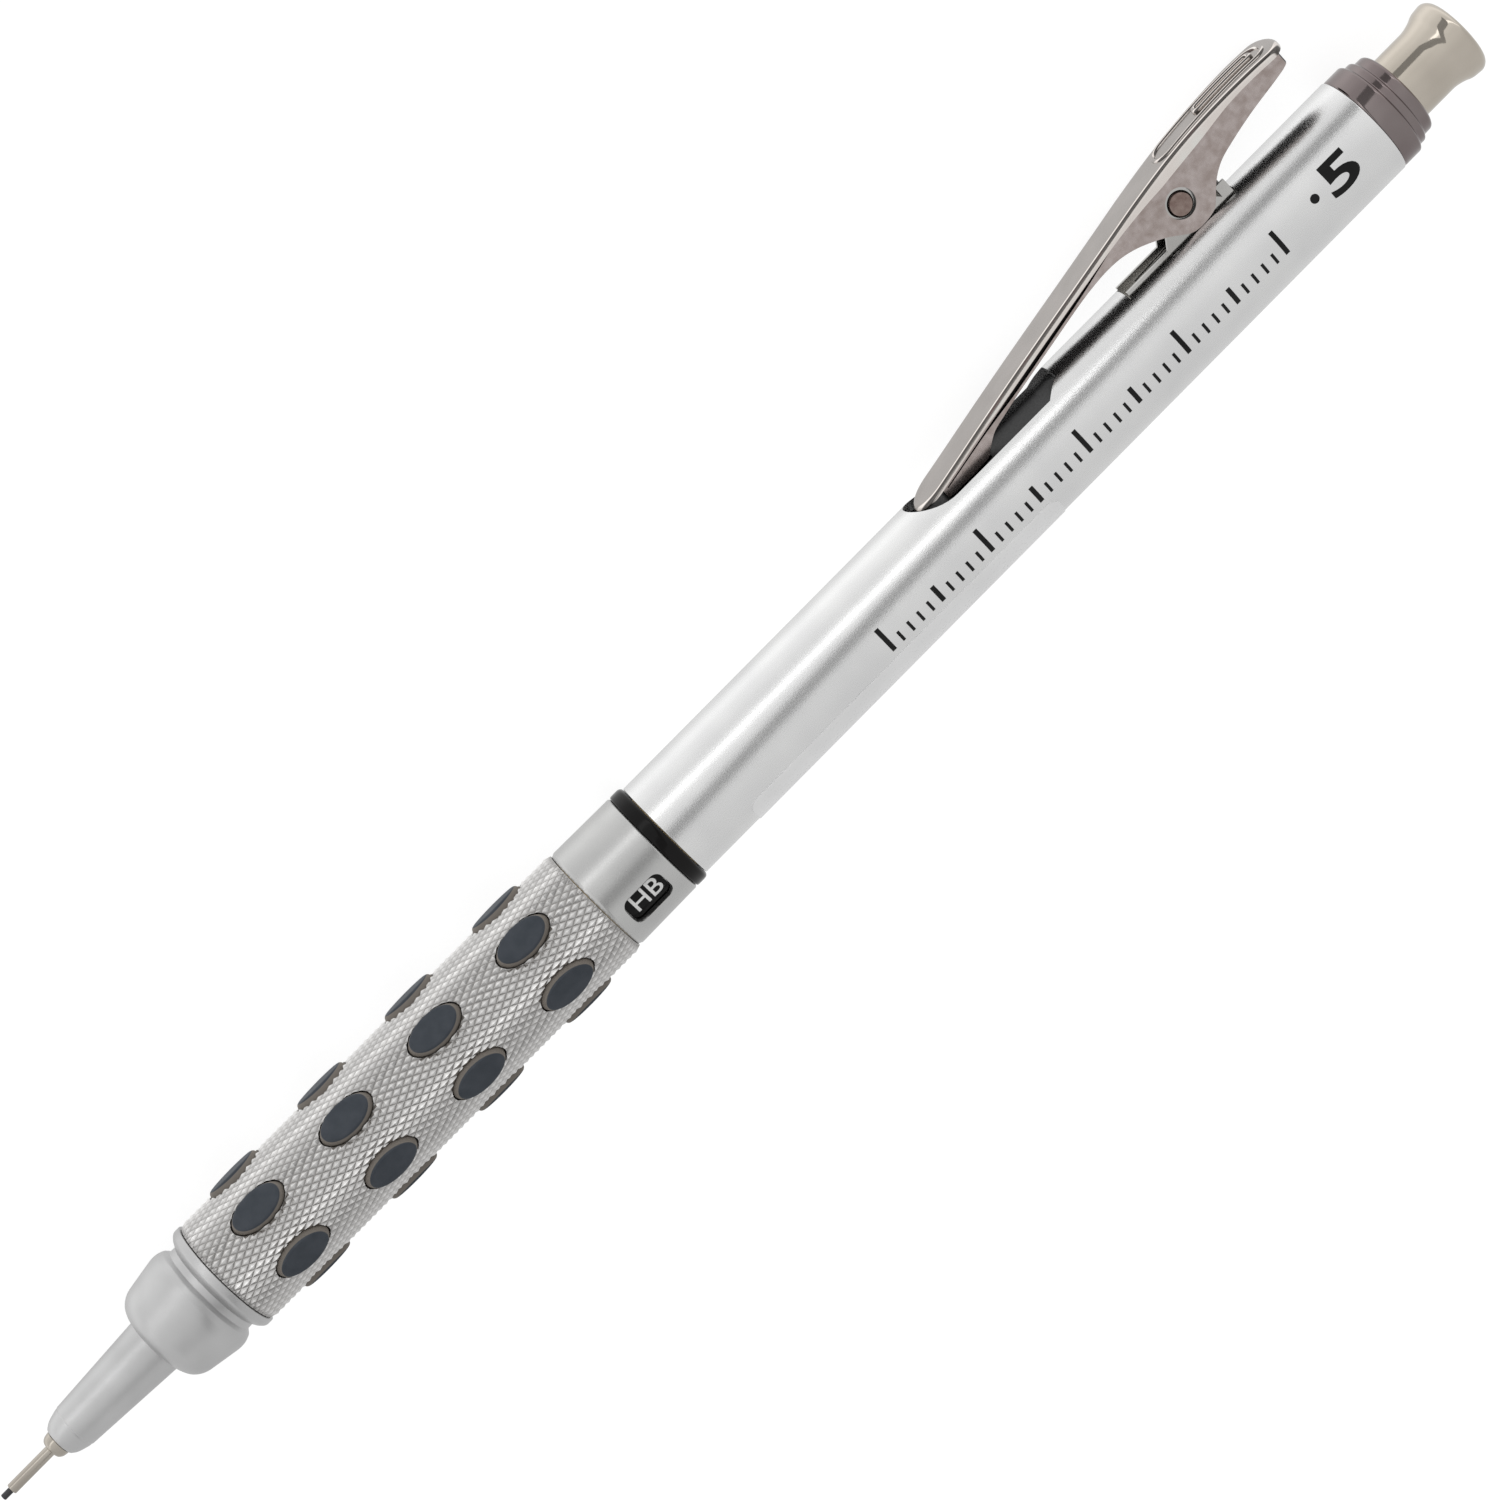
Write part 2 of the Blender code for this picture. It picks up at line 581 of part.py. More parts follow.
# ---------------------------------------------------------------- eraser end
def make_eraser_end():
    """Lead tube, cup with the eraser in it, and the push button that covers them."""
    floor = CUP_LEN - CUP_DEPTH
    socket = floor - CUP_WEB
    length = X_CUP + socket - 2 * SEAT - X_LEAD_TUBE
    lead_tube = tube("lead_tube", X_LEAD_TUBE, length, LEAD_TUBE_R, LEAD_TUBE_BORE_R, SMOKE, SLIM)
    bore = CUP_R - CUP_WALL
    cup = turned(
        "eraser_cup", X_CUP,
        [(0, LEAD_TUBE_R + FIT), (0, CUP_R), (CUP_LEN, CUP_R), (CUP_LEN, bore), (floor, bore),
         (floor, LEAD_TUBE_BORE_R), (socket, LEAD_TUBE_BORE_R), (socket, LEAD_TUBE_R + FIT)],
        BLACK, 32,
    )
    soft = 0.4 * MM
    eraser = turned(
        "eraser", X_CUP + floor + SEAT,
        [(0, 0), (0, bore - FIT), (ERASER_LEN - soft, bore - FIT), (ERASER_LEN, bore - FIT - soft),
         (ERASER_LEN, 0)],
        ERASER, SLIM,
    )
    front = X_END_COLLAR + END_COLLAR_LEN - BUTTON_SKIRT
    total = X_BUTTON_END - front
    inside = BUTTON_R - BUTTON_WALL
    swell = BUTTON_RIM_R - BUTTON_R
    flare = [
        (total - BUTTON_FLARE_LEN + 2.0 * MM * s, BUTTON_R + swell * s * s * (1.6 - 0.6 * s))
        for s in (0.0, 0.25, 0.5, 0.7, 0.85)
    ]
    rim = arc(
        (total - 0.55 * MM, BUTTON_FACE_R + 0.35 * MM), (0.55 * MM, BUTTON_RIM_R - BUTTON_FACE_R - 0.35 * MM),
        110, 15, 5,
    )
    button = turned(
        "push_button", front,
        [(0, inside), (0, BUTTON_R), *flare, *rim, (total, BUTTON_FACE_R), (total, 0),
         (total - BUTTON_END_WALL, 0), (total - BUTTON_END_WALL, inside)][::-1],
        NICKEL, WIDE,
    )
    return lead_tube, cup, eraser, button


# ---------------------------------------------------------------- barrel, front half
def make_front():
    """Ferrule, knurled shell with its rubber sleeve, and the brass tube that they screw on to."""
    mouth = CONE_R + SLIDE_FIT
    socket = INNER_TUBE_FRONT - SEAT - X_FERRULE
    rise = FERRULE_SHOULDER_R - FERRULE_MOUTH_R
    shoulder = arc((1.75 * MM, FERRULE_MOUTH_R), (1.65 * MM, rise), 180, 90, 6)
    groove = FERRULE_LEN - 1.72 * MM
    tail = GRIP_BORE_R - FIT
    ferrule = turned(
        "front_ferrule", X_FERRULE,
        [(0, mouth), *shoulder, (4.2 * MM, FERRULE_R), (4.75 * MM, FERRULE_R - 0.06 * MM),
         (groove, FERRULE_GROOVE_R), (groove + 0.5 * MM, FERRULE_GROOVE_R),
         (groove + 0.85 * MM, GRIP_R - 0.25 * MM), (groove + 1.2 * MM, GRIP_R),
         (FERRULE_LEN, GRIP_R), (FERRULE_LEN, tail), (FERRULE_LEN + SPIGOT_LEN, tail),
         (FERRULE_LEN + SPIGOT_LEN, INNER_TUBE_R + FIT), (socket, INNER_TUBE_R + FIT), (socket, mouth)],
        MATT,
    )
    shell = tube("grip_shell", X_GRIP, GRIP_LEN, GRIP_R, GRIP_BORE_R, KNURL, chamfer=CHAMFER)
    holes = pad_plugs("grip_holes", PAD_HOLE_GAP, GRIP_BORE_R - 0.5 * MM, GRIP_R + 1 * MM, 0)
    cut(shell, holes)
    length = X_SHOULDER - SEAT - X_PAD_SLEEVE
    inner = PAD_SLEEVE_R - PAD_SLEEVE_WALL
    sleeve = tube("grip_pads", X_PAD_SLEEVE, length, PAD_SLEEVE_R, inner, RUBBER)
    pads = pad_plugs("pad_tops", 0, PAD_SLEEVE_R - PAD_SLEEVE_WALL / 2, PAD_TOP_R, PAD_TOP_INSET)
    combine(sleeve, pads, "UNION")
    return ferrule, shell, sleeve


def pad_plugs(name, gap, low, high, inset):
    plugs = []
    half = (PAD_HALF_LEN + gap, PAD_HALF_WIDTH + gap)
    for row in range(PAD_ROWS):
        x = X_GRIP + GRIP_LEN / 2 + (row - (PAD_ROWS - 1) / 2) * PAD_PITCH
        for column in range(PAD_COLUMNS):
            angle = PAD_PHASE + 2 * math.pi * column / PAD_COLUMNS
            plugs.append(around(f"{name}_{row}_{column}", (x, angle), half, low, high, inset))
    return merged(name, plugs)


def make_middle():
    """Brass inner tube, the smooth band with its window, and the grade ring that turns in it."""
    front = INNER_TUBE_FRONT
    shoulder = X_SHOULDER - front
    thread = X_BARREL + 0.5 * MM - front
    end = X_INNER_TUBE_END - front
    core = turned(
        "inner_tube", front,
        [(0, INNER_TUBE_BORE_R), (0, INNER_TUBE_R), (shoulder, INNER_TUBE_R), (shoulder, GRIP_BORE_R - FIT),
         (shoulder + SHOULDER_LEN, GRIP_BORE_R - FIT), (shoulder + SHOULDER_LEN, INNER_TUBE_R),
         (thread, INNER_TUBE_R), (thread, BARREL_BORE_R - FIT), (end, BARREL_BORE_R - FIT),
         (end, INNER_TUBE_BORE_R)],
        BRASS,
    )
    step = 0.35 * MM
    band = turned(
        "window_collar", X_COLLAR,
        [(0, GRIP_BORE_R), (0, COLLAR_R - 0.12 * MM), (step, COLLAR_R), (COLLAR_LEN, COLLAR_R - 0.05 * MM),
         (COLLAR_LEN, GRIP_BORE_R)],
        SATIN,
    )
    half, wide, round_ = WINDOW_LEN / 2, WINDOW_WIDTH / 2, WINDOW_CORNER
    outline = []
    for u, v, start in ((half, wide, 0), (-half, wide, 90), (-half, -wide, 180), (half, -wide, 270)):
        centre = (math.copysign(abs(u) - round_, u), math.copysign(abs(v) - round_, v))
        outline += arc(centre, (round_, round_), start, start + 90, 4)
    window = plate("grade_window", outline, GRIP_BORE_R - 1 * MM, COLLAR_R + 1 * MM, None, "top", cutter=True)
    window.location = (X_COLLAR + COLLAR_LEN / 2, 0, 0)
    for vertex in window.data.vertices:
        vertex.co.z += GRIP_BORE_R / 2 + COLLAR_R / 2
    window.rotation_euler = (WINDOW_ANGLE, 0, 0)
    cut(band, window)
    drum_x = X_SHOULDER + SHOULDER_LEN + SEAT
    lip = X_GRADE - drum_x
    bore = INNER_TUBE_R + SLIDE_FIT
    drum = GRIP_BORE_R - SLIDE_FIT
    soft = 0.25 * MM
    ring = turned(
        "grade_ring", drum_x,
        [(0, bore), (0, drum), (lip, drum), (lip, GRADE_FLANGE_R - soft), (lip + soft, GRADE_FLANGE_R),
         (lip + GRADE_FLANGE_LEN - soft, GRADE_FLANGE_R), (lip + GRADE_FLANGE_LEN, GRADE_FLANGE_R - soft),
         (lip + GRADE_FLANGE_LEN, bore)],
        BLACK,
    )
    return core, band, ring


# ---------------------------------------------------------------- barrel, rear half
def slot_outline(gap=0.0):
    """The lower slot seen from above: a round front end and a chamfered rear end."""
    half = SLOT_HALF_WIDTH + gap
    front = X_PIVOT - SLOT_FRONT - gap + SLOT_ROUND
    rear = X_PIVOT - SLOT_REAR + gap
    nose = arc((front, 0), (SLOT_ROUND, half), 90, 270, 10)
    return [
        *nose, (rear - SLOT_CORNER_LEN, -half), (rear, -SLOT_REAR_HALF_WIDTH), (rear, SLOT_REAR_HALF_WIDTH),
        (rear - SLOT_CORNER_LEN, half),
    ]


def make_rear():
    """Barrel with the clip's two slots, the liner behind them, and the end collar."""
    barrel = tube("upper_barrel", X_BARREL, BARREL_LEN, BARREL_R, BARREL_BORE_R, SATIN, chamfer=0.08 * MM)
    above = BARREL_R + 1 * MM
    slot = plate("clip_slot", slot_outline(), 0.5 * MM, above, None, "top", cutter=True)
    bracket_slot = box(
        "bracket_slot", (X_PIVOT - BRACKET_SLOT_FRONT, -BRACKET_SLOT_HALF_WIDTH, 0.5 * MM),
        (X_PIVOT + BRACKET_SLOT_REAR, BRACKET_SLOT_HALF_WIDTH, above),
    )
    cut(barrel, slot, bracket_slot)
    end = X_END_COLLAR - END_COLLAR_TAIL - SEAT
    liner = tube("window_liner", X_LINER, end - X_LINER, LINER_R, LINER_BORE_R, BLACK)
    front, rear = X_PIVOT - SLOT_FRONT, X_PIVOT - SLOT_REAR
    wall = POCKET_WALL
    floor = rod("pocket_block", front - wall, rear - front + 2 * wall, LINER_R, None, WIDE, cutter=True)
    below = box(
        "below_pocket", (front - 2 * wall, -2 * LINER_R, -2 * LINER_R),
        (rear + 2 * wall, 2 * LINER_R, POCKET_FLOOR_Z - POCKET_FLOOR_WALL),
    )
    cut(floor, below)
    combine(liner, floor, "UNION")
    side = [
        (front, POCKET_FLOOR_Z), (rear - POCKET_RAMP_LEN, POCKET_FLOOR_Z), (rear, LINER_R - 0.25 * MM),
        (rear, above), (front, above),
    ]
    pocket = plate("pocket", side, -SLOT_HALF_WIDTH, SLOT_HALF_WIDTH, None, "side", cutter=True)
    hook_front = X_PIVOT - HOOK_FRONT
    hook_hole = box(
        "hook_hole", (hook_front - HOOK_HOLE_GAP, -HOOK_HALF_WIDTH - HOOK_HOLE_GAP, 0.5 * MM),
        (hook_front + HOOK_LEN + HOOK_HOLE_GAP, HOOK_HALF_WIDTH + HOOK_HOLE_GAP, above),
    )
    reach = BRACKET_BASE_TAB + 2 * FIT
    width = BRACKET_HALF_WIDTH + 2 * FIT
    bracket_seat = box(
        "bracket_seat", (X_PIVOT - BRACKET_SLOT_FRONT - reach, -width, 0.5 * MM),
        (X_PIVOT + BRACKET_SLOT_REAR + reach, width, above),
    )
    cut(liner, pocket, hook_hole, bracket_seat)
    tail = END_COLLAR_TAIL
    bore = BUTTON_R + SLIDE_FIT
    rim = BARREL_R - FIT
    steps = (rim, rim - END_COLLAR_STEP, rim - 2 * END_COLLAR_STEP)
    last = tail + END_COLLAR_LEN
    first = last - END_COLLAR_LEN / 2 - 0.1 * MM
    second = first + 0.75 * MM
    slope, soft = 0.1 * MM, 0.2 * MM
    collar = turned(
        "end_collar", X_END_COLLAR - tail,
        [(0, bore), (0, BARREL_BORE_R - FIT), (tail, BARREL_BORE_R - FIT), (tail, steps[0]),
         (first, steps[0]), (first + slope, steps[1]), (second, steps[1]), (second + slope, steps[2]),
         (last - soft, steps[2]), (last, steps[2] - soft), (last, bore)],
        GUNMETAL,
    )
    return barrel, liner, collar


# ---------------------------------------------------------------- clip
def face(x):
    """Height of the clip's outer face above the pivot."""
    return along(CLIP_FACE, x / MM) * MM - PIVOT_HEIGHT


def edge(x):
    """Height of the clip's lower edge above the pivot."""
    return along(CLIP_EDGE, x / MM) * MM - PIVOT_HEIGHT


def stations(front, rear, count):
    return [front + (rear - front) * i / (count - 1) for i in range(count)]


def side(x):
    """Half of the clip's width."""
    return along(CLIP_SIDE, x / MM) * MM


def skirt(x):
    return along(CLIP_SKIRT, x / MM) * MM


def clip_plan(inset):
    """Room for the clip seen from above: its rounded ends, and well clear of its sides."""
    tip, tail = inset - CLIP_TIP_REACH, CLIP_TAIL_REACH - inset
    first, last = tip + CLIP_TIP_ROUND, tail - CLIP_TAIL_ROUND
    front, rear, clear = side(first) - inset, side(last) - inset, 3 * MM
    return [
        (first, clear), *arc((first, 0), (CLIP_TIP_ROUND, front), 90, 270, 10), (first, -clear),
        (last, -clear), *arc((last, 0), (CLIP_TAIL_ROUND, rear), -90, 90, 10), (last, clear),
    ]


def channel_outline(top_drop, overhang, bottom=None):
    """Outline of the channel from the side, its top this far under the clip's outer face."""
    xs = stations(-CHANNEL_FRONT - overhang, CLIP_TAIL_REACH + overhang, CLIP_STATIONS)
    upper = [(x, face(x) - top_drop) for x in xs]
    if bottom is not None:
        return [*upper, (xs[-1], bottom), (xs[0], bottom)]
    low_xs = sorted({*xs, *(x * MM for x, _ in CLIP_EDGE[1:-1])}, reverse=True)
    return [*upper, *((x, min(edge(x), face(x) - top_drop - 0.3 * MM)) for x in low_xs)]


def channel_slit(top_drop):
    """Outline of the long gap seen between the plate and the channel's side."""
    xs = [x * MM for x, _ in CHANNEL_SLIT]
    lower = [(x * MM, face(x * MM) - drop * MM) for x, drop in reversed(CHANNEL_SLIT)]
    return [*((x, face(x) - top_drop) for x in xs), *lower]


def plan_side(inset):
    """One side of the plate seen from above, from its tip to its tail."""
    first, last = CLIP_TIP_ROUND - CLIP_TIP_REACH, CLIP_TAIL_REACH - CLIP_TAIL_ROUND
    return [
        *arc((first, 0), (CLIP_TIP_ROUND - inset, side(first) - inset), 180, 90, 8),
        *((x, side(x) - inset) for x in stations(first, last, CLIP_STATIONS)[1:-1]),
        *arc((last, 0), (CLIP_TAIL_ROUND - inset, side(last) - inset), 90, 0, 6),
    ]


def plate_face(bm, inset, bend):
    """One face of the plate, in rows across it from rolled edge to rolled edge."""
    turns = arc((inset + bend, -CLIP_BEND_R), (bend, bend), 180, 90, 4)
    insets = [inset, *(x for x, _ in turns)]
    sides = [plan_side(value) for value in insets]
    rows = []
    for k in range(len(sides[0])):
        left = []
        for i, line in enumerate(sides):
            x, y = line[k]
            left.append((x, y, face(x) + (turns[i - 1][1] if i else -skirt(x))))
        row = [*left, *((x, -y, z) for x, y, z in reversed(left))]
        rows.append([bm.verts.new(co) for co in row])
    for before, after in zip(rows, rows[1:], strict=False):
        for k in range(len(before) - 1):
            bm.faces.new((before[k], after[k], after[k + 1], before[k + 1]))
    return rows


def make_plate():
    """The clip's outer plate, a bent sheet with rolled edges."""
    mesh = bpy.data.meshes.new("clip_plate")
    bm = bmesh.new()
    outer = plate_face(bm, 0, CLIP_BEND_R)
    inner = plate_face(bm, CLIP_SHEET, CLIP_BEND_R - CLIP_SHEET)
    for k in (0, -1):
        for i in range(len(outer) - 1):
            bm.faces.new((outer[i][k], outer[i + 1][k], inner[i + 1][k], inner[i][k]))
    bmesh.ops.remove_doubles(bm, verts=bm.verts, dist=0.001 * MM)
    bmesh.ops.dissolve_degenerate(bm, edges=bm.edges, dist=0.001 * MM)
    bmesh.ops.recalc_face_normals(bm, faces=bm.faces)
    bm.to_mesh(mesh)
    bm.free()
    return link("clip_plate", mesh, NICKEL)


def make_clip():
    """Outer plate, channel with the pivot's ears, and the latching hook."""
    skin = make_plate()
    under = CLIP_SHEET + FIT
    outer = CHANNEL_HALF_WIDTH
    channel = plate("clip_channel", channel_outline(under, 0), -outer, outer, NICKEL, "side")
    inside = channel_outline(under + CHANNEL_SHEET, 1 * MM, -9 * MM)
    wall = CHANNEL_SHEET
    hollow = plate("channel_hollow", inside, wall - outer, outer - wall, None, "side", cutter=True)
    gap = channel_slit(under + CHANNEL_SHEET + FIT)
    slit = plate("channel_slit", gap, -2 * outer, 2 * outer, None, "side", cutter=True)
    plan = plate("channel_plan", clip_plan(CLIP_SHEET + FIT), -9 * MM, 9 * MM, None, "top", cutter=True)
    hole = rod("ear_holes", -9 * MM, 18 * MM, PIN_HOLE_R, None, cutter=True)
    hole.rotation_euler = (0, 0, math.pi / 2)
    hole.location = (0, -9 * MM, PIN_HOLE_RISE)
    cut(channel, hollow, hole, slit)
    combine(channel, plan, "INTERSECT")
    front, rear = -HOOK_FRONT, HOOK_LEN - HOOK_FRONT
    low = HOOK_BOTTOM_Z - PIVOT_HEIGHT
    above = under + CHANNEL_SHEET + SEAT
    foot = HOOK_FOOT
    hook = plate(
        "clip_hook",
        [(front, low), (rear, low), (rear, low + foot), (front + foot, low + foot),
         (front + foot, face(front + foot) - above), (front, face(front) - above)],
        -HOOK_HALF_WIDTH, HOOK_HALF_WIDTH, STEEL, "side",
    )
    return [skin, channel, hook], [plan, hole, hollow, slit]


def make_bracket():
    """Bracket with two cheeks, its pin, and the torsion spring that closes the clip."""
    rail, tower = BRACKET_RAIL_Z - PIVOT_HEIGHT, BRACKET_TOWER_Z - PIVOT_HEIGHT
    base = BRACKET_BASE_Z - PIVOT_HEIGHT
    top = base + BRACKET_SHEET
    front, rear = -BRACKET_SLOT_FRONT, BRACKET_SLOT_REAR
    inset = 3 * FIT
    end, tab, reach = rear - inset, BRACKET_REAR_TAB_Z - PIVOT_HEIGHT, BRACKET_BASE_TAB
    boss = arc((0, 0), (BRACKET_BOSS_R, BRACKET_BOSS_R), -20, 200, 12)
    outline = [
        (front - reach, base), (rear + reach, base), (rear + reach, top), (end, top),
        (end, tab), (end - BRACKET_REAR_TAB_LEN, tab), (end - BRACKET_REAR_TAB_LEN, rail), *boss,
        (-BRACKET_TOWER_FRONT + 0.9 * MM, tower), (-BRACKET_TOWER_FRONT, rail),
        (front + inset, rail), (front + inset, top), (front - reach, top),
    ]
    bracket = plate("clip_bracket", outline, -BRACKET_HALF_WIDTH, BRACKET_HALF_WIDTH, STEEL, "side")
    inside = BRACKET_HALF_WIDTH - BRACKET_SHEET
    between = box("between_cheeks", (front - 1 * MM, -inside, top), (rear + 1 * MM, inside, 9 * MM))
    hole = rod("bracket_hole", 0, 18 * MM, PIN_R + FIT, None, cutter=True)
    hole.rotation_euler.z = math.pi / 2
    hole.location.y = -9 * MM
    cut(bracket, between, hole)
    pin_half = CHANNEL_HALF_WIDTH - PIN_RECESS
    pin = rod("clip_pin", 0, 2 * pin_half, PIN_R, STEEL)
    pin.rotation_euler.z = math.pi / 2
    pin.location.y = -pin_half
    radius, mean, turns = CLIP_SPRING
    count = round(turns * COIL_POINTS)
    points = []
    for i in range(count + 1):
        angle = 2 * math.pi * turns * i / count - math.pi / 2
        y = CLIP_SPRING_PITCH * turns * (0.5 - i / count)
        points.append((mean * math.cos(angle), y, mean * math.sin(angle)))
    seat_z = top + radius + SEAT
    first, last = points[0], points[-1]
    lead_in = [(-BRACKET_SLOT_FRONT + 1.5 * MM, first[1], seat_z), (-2.4 * MM, first[1], seat_z + 0.15 * MM)]
    tail_x = 5.2 * MM
    tail_z = face(tail_x) - CLIP_SHEET - FIT - CHANNEL_SHEET - radius - 2 * SEAT
    out = [(0.8 * MM, last[1], last[2] + 0.1 * MM), (tail_x, last[1], tail_z)]
    spring = as_mesh(wire("clip_spring", [*lead_in, *points, *out], radius, STEEL))
    return [bracket, pin, spring], [between, hole]


# ---------------------------------------------------------------- assembly
def empty(name, at, parent=None):
    made = bpy.data.objects.new(name, None)
    PENCIL.objects.link(made)
    made.empty_display_size = 2 * MM
    made.location = at
    made.parent = parent
    return made


def lay_down(root):
    """Sets the pencil on z = 0, with the middle of its bounding box over the origin."""
    bpy.context.view_layer.update()
    graph = bpy.context.evaluated_depsgraph_get()
    corners = []
    for obj in PENCIL.objects:
        if obj.type != "EMPTY":
            shown = obj.evaluated_get(graph)
            mesh = shown.to_mesh()
            corners += [shown.matrix_world @ vertex.co for vertex in mesh.vertices]
            shown.to_mesh_clear()
    low, high = (Vector(map(side, *corners)) for side in (min, max))
    root.location -= Vector(((low.x + high.x) / 2, (low.y + high.y) / 2, low.z))


def main():
    make_tip()
    make_chuck()
    make_carriage()
    behind = X_INNER_TUBE_END + SEAT
    coil("retract_spring", behind, X_COLLAR_SEAT - SEAT - behind, RETRACT_SPRING, STEEL)
    front = X_CARRIAGE + CARRIAGE_LIP + SEAT
    coil("chuck_spring", front, X_LEAD_TUBE - SEAT - front, CHUCK_SPRING, STEEL)
    make_eraser_end()
    make_front()
    make_middle()
    make_rear()
    pencil = empty("pencil", (0, 0, 0))
    pivot = empty("clip_pivot", (X_PIVOT, 0, PIVOT_HEIGHT), pencil)
    around_pivot = [obj for made in (make_clip(), make_bracket()) for group in made for obj in group]
    for obj in (*PENCIL.objects, *CUTTERS.objects):
        if obj in around_pivot:
            obj.parent = pivot
        elif obj not in (pencil, pivot):
            obj.parent = pencil
    pencil.rotation_euler.x = -(math.pi / 2 + CLIP_DROOP)
    lay_down(pencil)


main()
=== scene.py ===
"""Looks of a retractable 0.5 mm drafting pencil with a hinged clip and a knurled, rubber-studded grip.

Pieces are built in the pencil's own frame, in millimetres: x runs along the axis from the tip of the
lead sleeve (0) to the push button, z points at the clip, and angles turn from the clip towards the
printed side of the barrel.
"""

import json
import math

import bmesh
import bpy
from mathutils import Matrix, Vector


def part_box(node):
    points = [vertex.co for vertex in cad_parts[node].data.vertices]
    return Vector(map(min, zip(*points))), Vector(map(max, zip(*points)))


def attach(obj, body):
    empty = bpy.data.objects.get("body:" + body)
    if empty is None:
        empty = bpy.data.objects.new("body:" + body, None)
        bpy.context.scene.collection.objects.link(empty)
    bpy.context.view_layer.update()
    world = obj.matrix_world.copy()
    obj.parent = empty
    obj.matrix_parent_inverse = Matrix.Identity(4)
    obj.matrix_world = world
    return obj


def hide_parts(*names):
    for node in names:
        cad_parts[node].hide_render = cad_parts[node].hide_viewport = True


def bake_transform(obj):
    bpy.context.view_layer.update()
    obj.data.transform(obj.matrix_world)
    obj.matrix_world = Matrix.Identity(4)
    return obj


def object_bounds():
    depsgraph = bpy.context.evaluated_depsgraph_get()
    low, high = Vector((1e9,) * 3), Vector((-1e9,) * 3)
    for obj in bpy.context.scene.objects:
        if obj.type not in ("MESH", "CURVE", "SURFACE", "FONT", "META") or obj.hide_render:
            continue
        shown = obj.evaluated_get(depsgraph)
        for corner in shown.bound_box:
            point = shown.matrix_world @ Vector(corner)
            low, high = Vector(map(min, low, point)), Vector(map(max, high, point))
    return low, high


MM = 0.001
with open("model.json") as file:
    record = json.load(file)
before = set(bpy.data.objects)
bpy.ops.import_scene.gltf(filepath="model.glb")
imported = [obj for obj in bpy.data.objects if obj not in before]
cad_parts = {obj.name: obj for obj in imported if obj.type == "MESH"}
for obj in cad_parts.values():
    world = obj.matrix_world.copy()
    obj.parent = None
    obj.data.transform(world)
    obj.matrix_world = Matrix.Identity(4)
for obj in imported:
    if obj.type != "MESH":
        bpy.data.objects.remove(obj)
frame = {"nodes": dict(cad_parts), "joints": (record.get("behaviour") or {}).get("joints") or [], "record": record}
CAD_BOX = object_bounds()


def pencil_frame():
    """The pencil's own frame as a matrix, from the clip's hinge, the button's face and the tip."""
    hinge = next(j for j in frame["joints"] if j["name"] == "clip_rock")
    face = next(m for m in frame["record"]["mounts"] if m["name"] == "button_face")["pos_m"]
    axis = Vector((1, 0, 0))
    side = Vector(hinge["axis"])
    up = axis.cross(side)
    origin = (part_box("lead_sleeve")[0].x, face[1], face[2])
    rows = [(axis[k] * MM, side[k] * MM, up[k] * MM, origin[k]) for k in range(3)]
    return Matrix((*rows, (0, 0, 0, 1)))


LOCAL = pencil_frame()


def start(node):
    """Where a CAD node starts along the pencil, in millimetres."""
    return (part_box(node)[0].x - LOCAL[0][3]) / MM


def end(node):
    return (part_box(node)[1].x - LOCAL[0][3]) / MM


# ---- places and sizes, in millimetres
X_BOSS = 4.0
X_CONE = start("tip_cone")
X_FERRULE = start("front_ferrule")
X_GRIP = start("grip_shell")
X_GRIP_END = end("grip_shell")
X_COLLAR = start("window_collar")
X_COLLAR_END = end("window_collar")
X_GRADE_END = end("grade_ring")
X_BARREL = start("upper_barrel")
X_BARREL_END = end("upper_barrel")
X_BUTTON = start("push_button")
X_BUTTON_END = end("push_button")
PIN_R = 0.96
X_PIVOT = start("clip_pin") + PIN_R
PIVOT_HEIGHT = 6.2

BARREL_R = 4.25
BARREL_BORE_R = 3.6
GRIP_R = 4.74
GRIP_BORE_R = 4.06

KNURL_STARTS = 50
KNURL_ROWS = 136
KNURL_DEPTH = 0.19

PAD_ROWS = 4
PAD_COLUMNS = 6
PAD_PITCH = 8.96
PAD_PHASE = math.radians(48.6)
PAD_HALF = (2.42, 1.28)
PAD_GAP = 0.1

WINDOW_ANGLE = math.radians(106)
WINDOW_HALF = (1.75, 1.2)
WINDOW_CORNER = 0.6
GRADES = ("HB", "H", "2H", "F", "B", "2B")
DRUM_R = 3.98

PRINT_R = BARREL_R
PRINT_HALF = 0.012
SIZE_MARK_X = 134.6
SIZE_MARK_ANGLE = math.radians(88)
SCALE_X = 108.0
SCALE_LENGTH = 40
SCALE_FOOT = -1.25
SCALE_ANGLE = math.radians(91)
LABEL_X = 88.25
LABEL_ANGLE = math.radians(116)
LABEL_SIZE = (31.3, 7.0)
LABEL_CORNER = 0.9
LABEL_THICKNESS = 0.07

# Gap between two sheets that lie on each other.
FIT = 0.05

